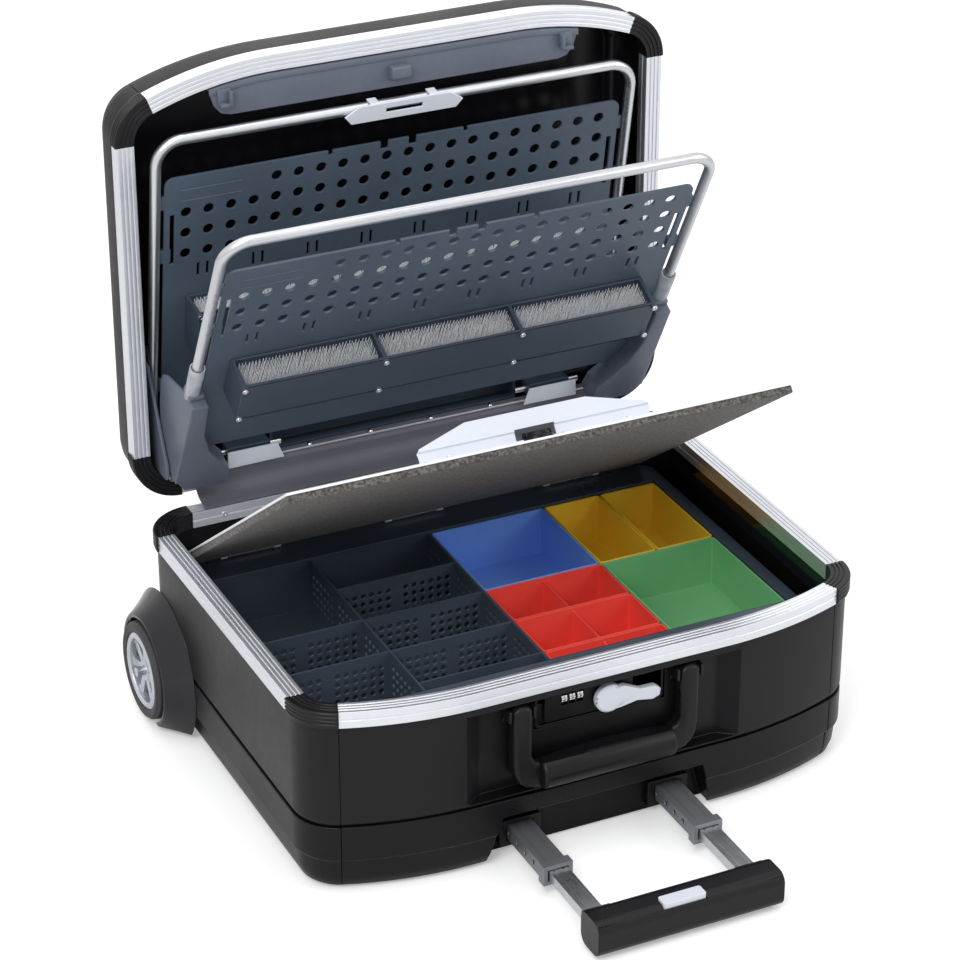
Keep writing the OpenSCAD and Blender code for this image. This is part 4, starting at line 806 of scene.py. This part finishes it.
headSettings = {
    "halfLength": 0.162, "flat": 0.105, "shoulder": 0.310, "inset": 0.0155, "low": -0.147, "back": 0.1650,
    "thick": 0.0025, "lip": 0.0055, "lipThick": 0.0014, "lipRise": 0.0012,
    "floorWall": 0.0022, "floorDeep": 0.020,
    "end": [(0.001, -0.166), (0.004, -0.156), (0.010, -0.149)],
    "catchSize": (0.017, 0.013, 0.0096), "catchPlace": (0, -0.1595, 0.1608), "catchLean": -0.0035,
    "hooks": [((0.011, 0.014, 0.003), (0.150, -0.163, 0.1637)),
              ((0.003, 0.012, 0.007), (0.1457, -0.163, 0.1610)),
              ((0.008, 0.003, 0.007), (0.151, -0.1575, 0.1610))],
}


def edgeAt(x, inset, s):
    # the lid's front edge, drawn in by an inset, at one place across
    over = max(0, abs(x) - s["flat"])
    return case["frontY"] + s["shoulder"] - math.sqrt((s["shoulder"] - inset) ** 2 - over ** 2)


def makeHeadTray(s):
    spots = [s["halfLength"] * (i / 12 - 1) for i in range(25)]
    top = [(x, edgeAt(x, s["inset"], s)) for x in spots]
    low = [(s["halfLength"] - inward, y) for inward, y in s["end"] + [(0.018, s["low"])]]
    low += [(-x, y) for x, y in reversed(low)]
    face = plate("headFace", top + low, "Z", s["thick"], s["back"])
    soften(face, 0.0007, 3)
    inner = [(x, edgeAt(x, s["inset"] + s["lip"], s)) for x in reversed(spots)]
    lip = plate("headLip", top + inner, "Z", s["lipThick"], s["back"] - s["lipRise"])
    soften(lip, 0.0005, 2)
    floor = plate("headFloor", top + [(x, y + s["floorWall"]) for x, y in reversed(top)], "Z", s["floorDeep"],
                  s["back"] + 0.001)
    soften(floor, 0.0006, 2)
    catch = block("headCatch", s["catchSize"], s["catchPlace"])
    takeUp(catch)
    bpy.ops.object.mode_set(mode="EDIT")
    bpy.ops.mesh.select_all(action="DESELECT")
    bpy.ops.object.mode_set(mode="OBJECT")
    for vertex in catch.data.vertices:
        vertex.select = vertex.co.z < 0 and vertex.co.y > 0
    bpy.ops.object.mode_set(mode="EDIT")
    bpy.ops.transform.translate(value=(0, s["catchLean"], 0))
    bpy.ops.object.mode_set(mode="OBJECT")
    soften(catch, 0.0012, 3)
    parts = [face, lip, floor, catch]
    for side in (-1, 1):
        for size, place in s["hooks"]:
            hook = block("headHook", size, (side * place[0], place[1], place[2]))
            soften(hook, 0.0007, 2)
            parts.append(hook)
    return joinPieces("headTrayMoulding", parts)


finishPiece(makeHeadTray(headSettings), "lid", "fitting_grey", ["head_tray"], lidMatrix)
print("head tray made")


# clip plates over the beam's pivot blocks

clipSettings = {"outline": [(0.1165, 0.1460), (0.1610, 0.1460), (0.1612, 0.1606), (0.1110, 0.1600)],
                "front": 0.1572, "thick": 0.0014,
                "tongueSize": (0.040, 0.010, 0.0045), "tonguePlace": (0.138, 0.1525, 0.1597)}


def makeClip(s):
    clip = plate("clipRight", s["outline"], "Z", s["thick"], s["front"])
    soften(clip, 0.0005, 3)
    tongue = block("clipTongue", s["tongueSize"], s["tonguePlace"])
    soften(tongue, 0.0006, 2)
    return joinPieces("clipRight", [clip, tongue])


clipRight = makeClip(clipSettings)
clipLeft = mirrorPiece(clipRight, "clipLeft")
for clip in (clipRight, clipLeft):
    finishPiece(clip, "lid", "light_grey", ["clip_plates"], lidMatrix)
print("clip plates made")


# carry handle: a moulded hoop with a thicker grip

handleSettings = {
    "pivot": (0, -0.188, 0.134), "front": -0.0072, "thick": 0.0137, "edge": 0.0042,
    "half": [(0.020, -0.0446), (0.040, -0.0455), (0.055, -0.0470), (0.0610, -0.0440), (0.0640, -0.0380),
             (0.0640, 0.0030), (0.0665, 0.0070), (0.0775, 0.0070), (0.0800, 0.0030), (0.0800, -0.0440),
             (0.0788, -0.0530), (0.0750, -0.0610), (0.0690, -0.0660), (0.0610, -0.0682), (0.0300, -0.0684)],
    "gripHalf": 0.0575, "gripY": -0.0045, "gripZ": -0.0566, "gripDeep": 0.0118, "gripHigh": 0.0124,
    "gripEdge": 0.0030, "middle": (-0.0440, -0.0684),
}


def makeHandle(s):
    inside, outside = s["middle"]
    outline = [(0, inside)] + s["half"] + [(0, outside)] + [(-x, z) for x, z in reversed(s["half"])]
    hoop = plate("handleHoop", outline, "Y", s["thick"], s["front"])
    soften(hoop, s["edge"], 4, 50)
    clearSelection()
    bpy.ops.mesh.primitive_cylinder_add(vertices=40, radius=1, depth=2 * s["gripHalf"],
                                        location=(0, s["gripY"], s["gripZ"]),
                                        rotation=(0, math.radians(90), 0))
    grip = bpy.context.object
    grip.scale = (s["gripHigh"], s["gripDeep"], 1)
    bpy.ops.object.transform_apply(location=True, rotation=True, scale=True)
    soften(grip, s["gripEdge"], 4, 50)
    handle = joinPieces("carryHandleMoulding", [hoop, grip])
    handle.location = s["pivot"]
    return handle


finishPiece(makeHandle(handleSettings), "carry_handle", "shell_black", ["carry_handle"], None, 50)
print("carry handle made")


# small screws

screwSettings = {
    "radius": 0.0026, "high": 0.0014, "edge": 0.00045, "rim": 0.0009, "recess": 0.0007,
    "holderX": -0.1815, "holderStep": 0.121, "holderRows": (-0.1425, -0.1065), "holderFace": -0.0322,
    "railX": (-0.172, 0.0, 0.172), "rail": (0.1629, 0.1560),
    "bracketX": (-0.0772, 0.0772), "bracket": (-0.137, 0.1242),
}


def makeScrew(s):
    clearSelection()
    bpy.ops.mesh.primitive_cylinder_add(vertices=20, radius=s["radius"], depth=s["high"], location=(0, 0, 0))
    head = bpy.context.object
    bpy.ops.object.mode_set(mode="EDIT")
    bpy.ops.mesh.select_all(action="SELECT")
    bpy.ops.mesh.bevel(offset=s["edge"], segments=2)
    bpy.ops.mesh.select_all(action="DESELECT")
    bpy.ops.object.mode_set(mode="OBJECT")
    for face in head.data.polygons:
        face.select = face.normal.z < -0.99
    bpy.ops.object.mode_set(mode="EDIT")
    bpy.ops.mesh.inset(thickness=s["rim"], depth=0)
    bpy.ops.mesh.extrude_region_move(TRANSFORM_OT_translate={"value": (0, 0, s["recess"])})
    bpy.ops.object.mode_set(mode="OBJECT")
    head.name = "screwHead"
    return head


def placeScrews(name, body, spots, matrix):
    # each spot is a place and a turn about X
    copies = []
    for i, (x, y, z, turn) in enumerate(spots):
        screw = copyPiece(screwHead, name + str(i))
        screw.matrix_world = Matrix.Translation((x, y, z)) @ Matrix.Rotation(math.radians(turn), 4, "X")
        copies.append(screw)
    finishPiece(joinPieces(name, copies), body, "dial_steel", (), matrix)


def placeAllScrews(s):
    holderSpots = [(s["holderX"] + i * s["holderStep"], y, s["holderFace"], 0)
                   for i in range(4) for y in s["holderRows"]]
    placeScrews("rearHolderScrews", "rear_rack", holderSpots, rearMatrix)
    placeScrews("frontHolderScrews", "front_rack", holderSpots, frontMatrix)
    placeScrews("railScrews", "case", [(x, *s["rail"], -90) for x in s["railX"]], None)
    placeScrews("bracketScrews", "cover", [(x, *s["bracket"], 180) for x in s["bracketX"]], coverMatrix)


screwHead = makeScrew(screwSettings)
placeAllScrews(screwSettings)
bpy.data.objects.remove(screwHead)
print("screws placed")


# figures on the combination dials

dialSettings = {"x": -0.0235, "pitch": 0.0068, "y": -0.1753, "z": 0.130, "radius": 0.0048, "high": 0.0026,
                "raised": 0.00008}


def makeFigures(s):
    figures = []
    for k in range(10):
        clearSelection()
        bpy.ops.object.text_add(location=(0, 0, 0), rotation=(math.radians(90), 0, 0))
        figure = bpy.context.object
        figure.data.body = str(k)
        figure.data.size = s["high"] / 0.7   # a figure is 0.7 of its type size
        figure.data.align_x = "CENTER"
        figure.data.align_y = "CENTER"
        figure.data.extrude = s["raised"]
        figure.data.resolution_u = 2
        bpy.ops.object.convert(target="MESH")
        figure = bpy.context.object
        figure.location = (0, -s["radius"], 0)
        bpy.ops.object.transform_apply(location=True, rotation=True, scale=True)
        figures.append(figure)
    for body, index in (("dial_left", -1), ("dial_middle", 0), ("dial_right", 1)):
        ring = []
        for k, figure in enumerate(figures):
            twin = copyPiece(figure, body + "Figure" + str(k))
            twin.matrix_world = (Matrix.Translation((s["x"] + index * s["pitch"], s["y"], s["z"]))
                                 @ Matrix.Rotation(math.radians(36 * (k + 2 * index)), 4, "X"))
            ring.append(twin)
        finishPiece(joinPieces(body + "Figures", ring), body, "ink_dark")
    for figure in figures:
        bpy.data.objects.remove(figure)


makeFigures(dialSettings)
print("dial figures made")


# raised lines on the boards

lineSettings = {"left": -0.188, "length": 0.052, "rows": (-0.2445, -0.2345), "wide": 0.0009, "high": 0.0006,
                "middleZ": -0.0002}


def makeLines(name, body, matrix, s):
    bars = []
    for row in s["rows"]:
        bar = block("raisedLine", (s["length"], s["wide"], s["high"]),
                    (s["left"] + s["length"] / 2, row, s["middleZ"]))
        soften(bar, 0.0002, 2)
        bars.append(bar)
    return finishPiece(joinPieces(name, bars), body, "fitting_grey", (), matrix)


makeLines("rearBoardLines", "rear_rack", rearMatrix, lineSettings)
makeLines("frontBoardLines", "front_rack", frontMatrix, lineSettings)
print("board lines made")


# floor

floorSettings = {"size": 12, "drop": -0.0005, "pale": 0.9, "roughness": 0.9, "glow": 0.30}


def makeFloor(s):
    # pale floor that the camera sees a little brighter; it keeps the shadow
    clearSelection()
    bpy.ops.mesh.primitive_plane_add(size=s["size"], location=(0, 0, s["drop"]))
    floor = bpy.context.object
    floor.name = "studioFloor"
    material = bpy.data.materials.new("studioFloor")
    material.use_nodes = True
    nodes, links = material.node_tree.nodes, material.node_tree.links
    shader = nodes["Principled BSDF"]
    shader.inputs["Base Color"].default_value = (s["pale"], s["pale"], s["pale"], 1)
    shader.inputs["Roughness"].default_value = s["roughness"]
    lightPath = nodes.new("ShaderNodeLightPath")
    glow = nodes.new("ShaderNodeEmission")
    glow.inputs["Strength"].default_value = s["glow"]
    mix = nodes.new("ShaderNodeAddShader")
    choose = nodes.new("ShaderNodeMixShader")
    links.new(shader.outputs[0], mix.inputs[0])
    links.new(glow.outputs[0], mix.inputs[1])
    links.new(lightPath.outputs["Is Camera Ray"], choose.inputs["Fac"])
    links.new(shader.outputs[0], choose.inputs[1])
    links.new(mix.outputs[0], choose.inputs[2])
    links.new(choose.outputs[0], nodes["Material Output"].inputs["Surface"])
    floor.data.materials.append(material)


makeFloor(floorSettings)
print("floor laid")
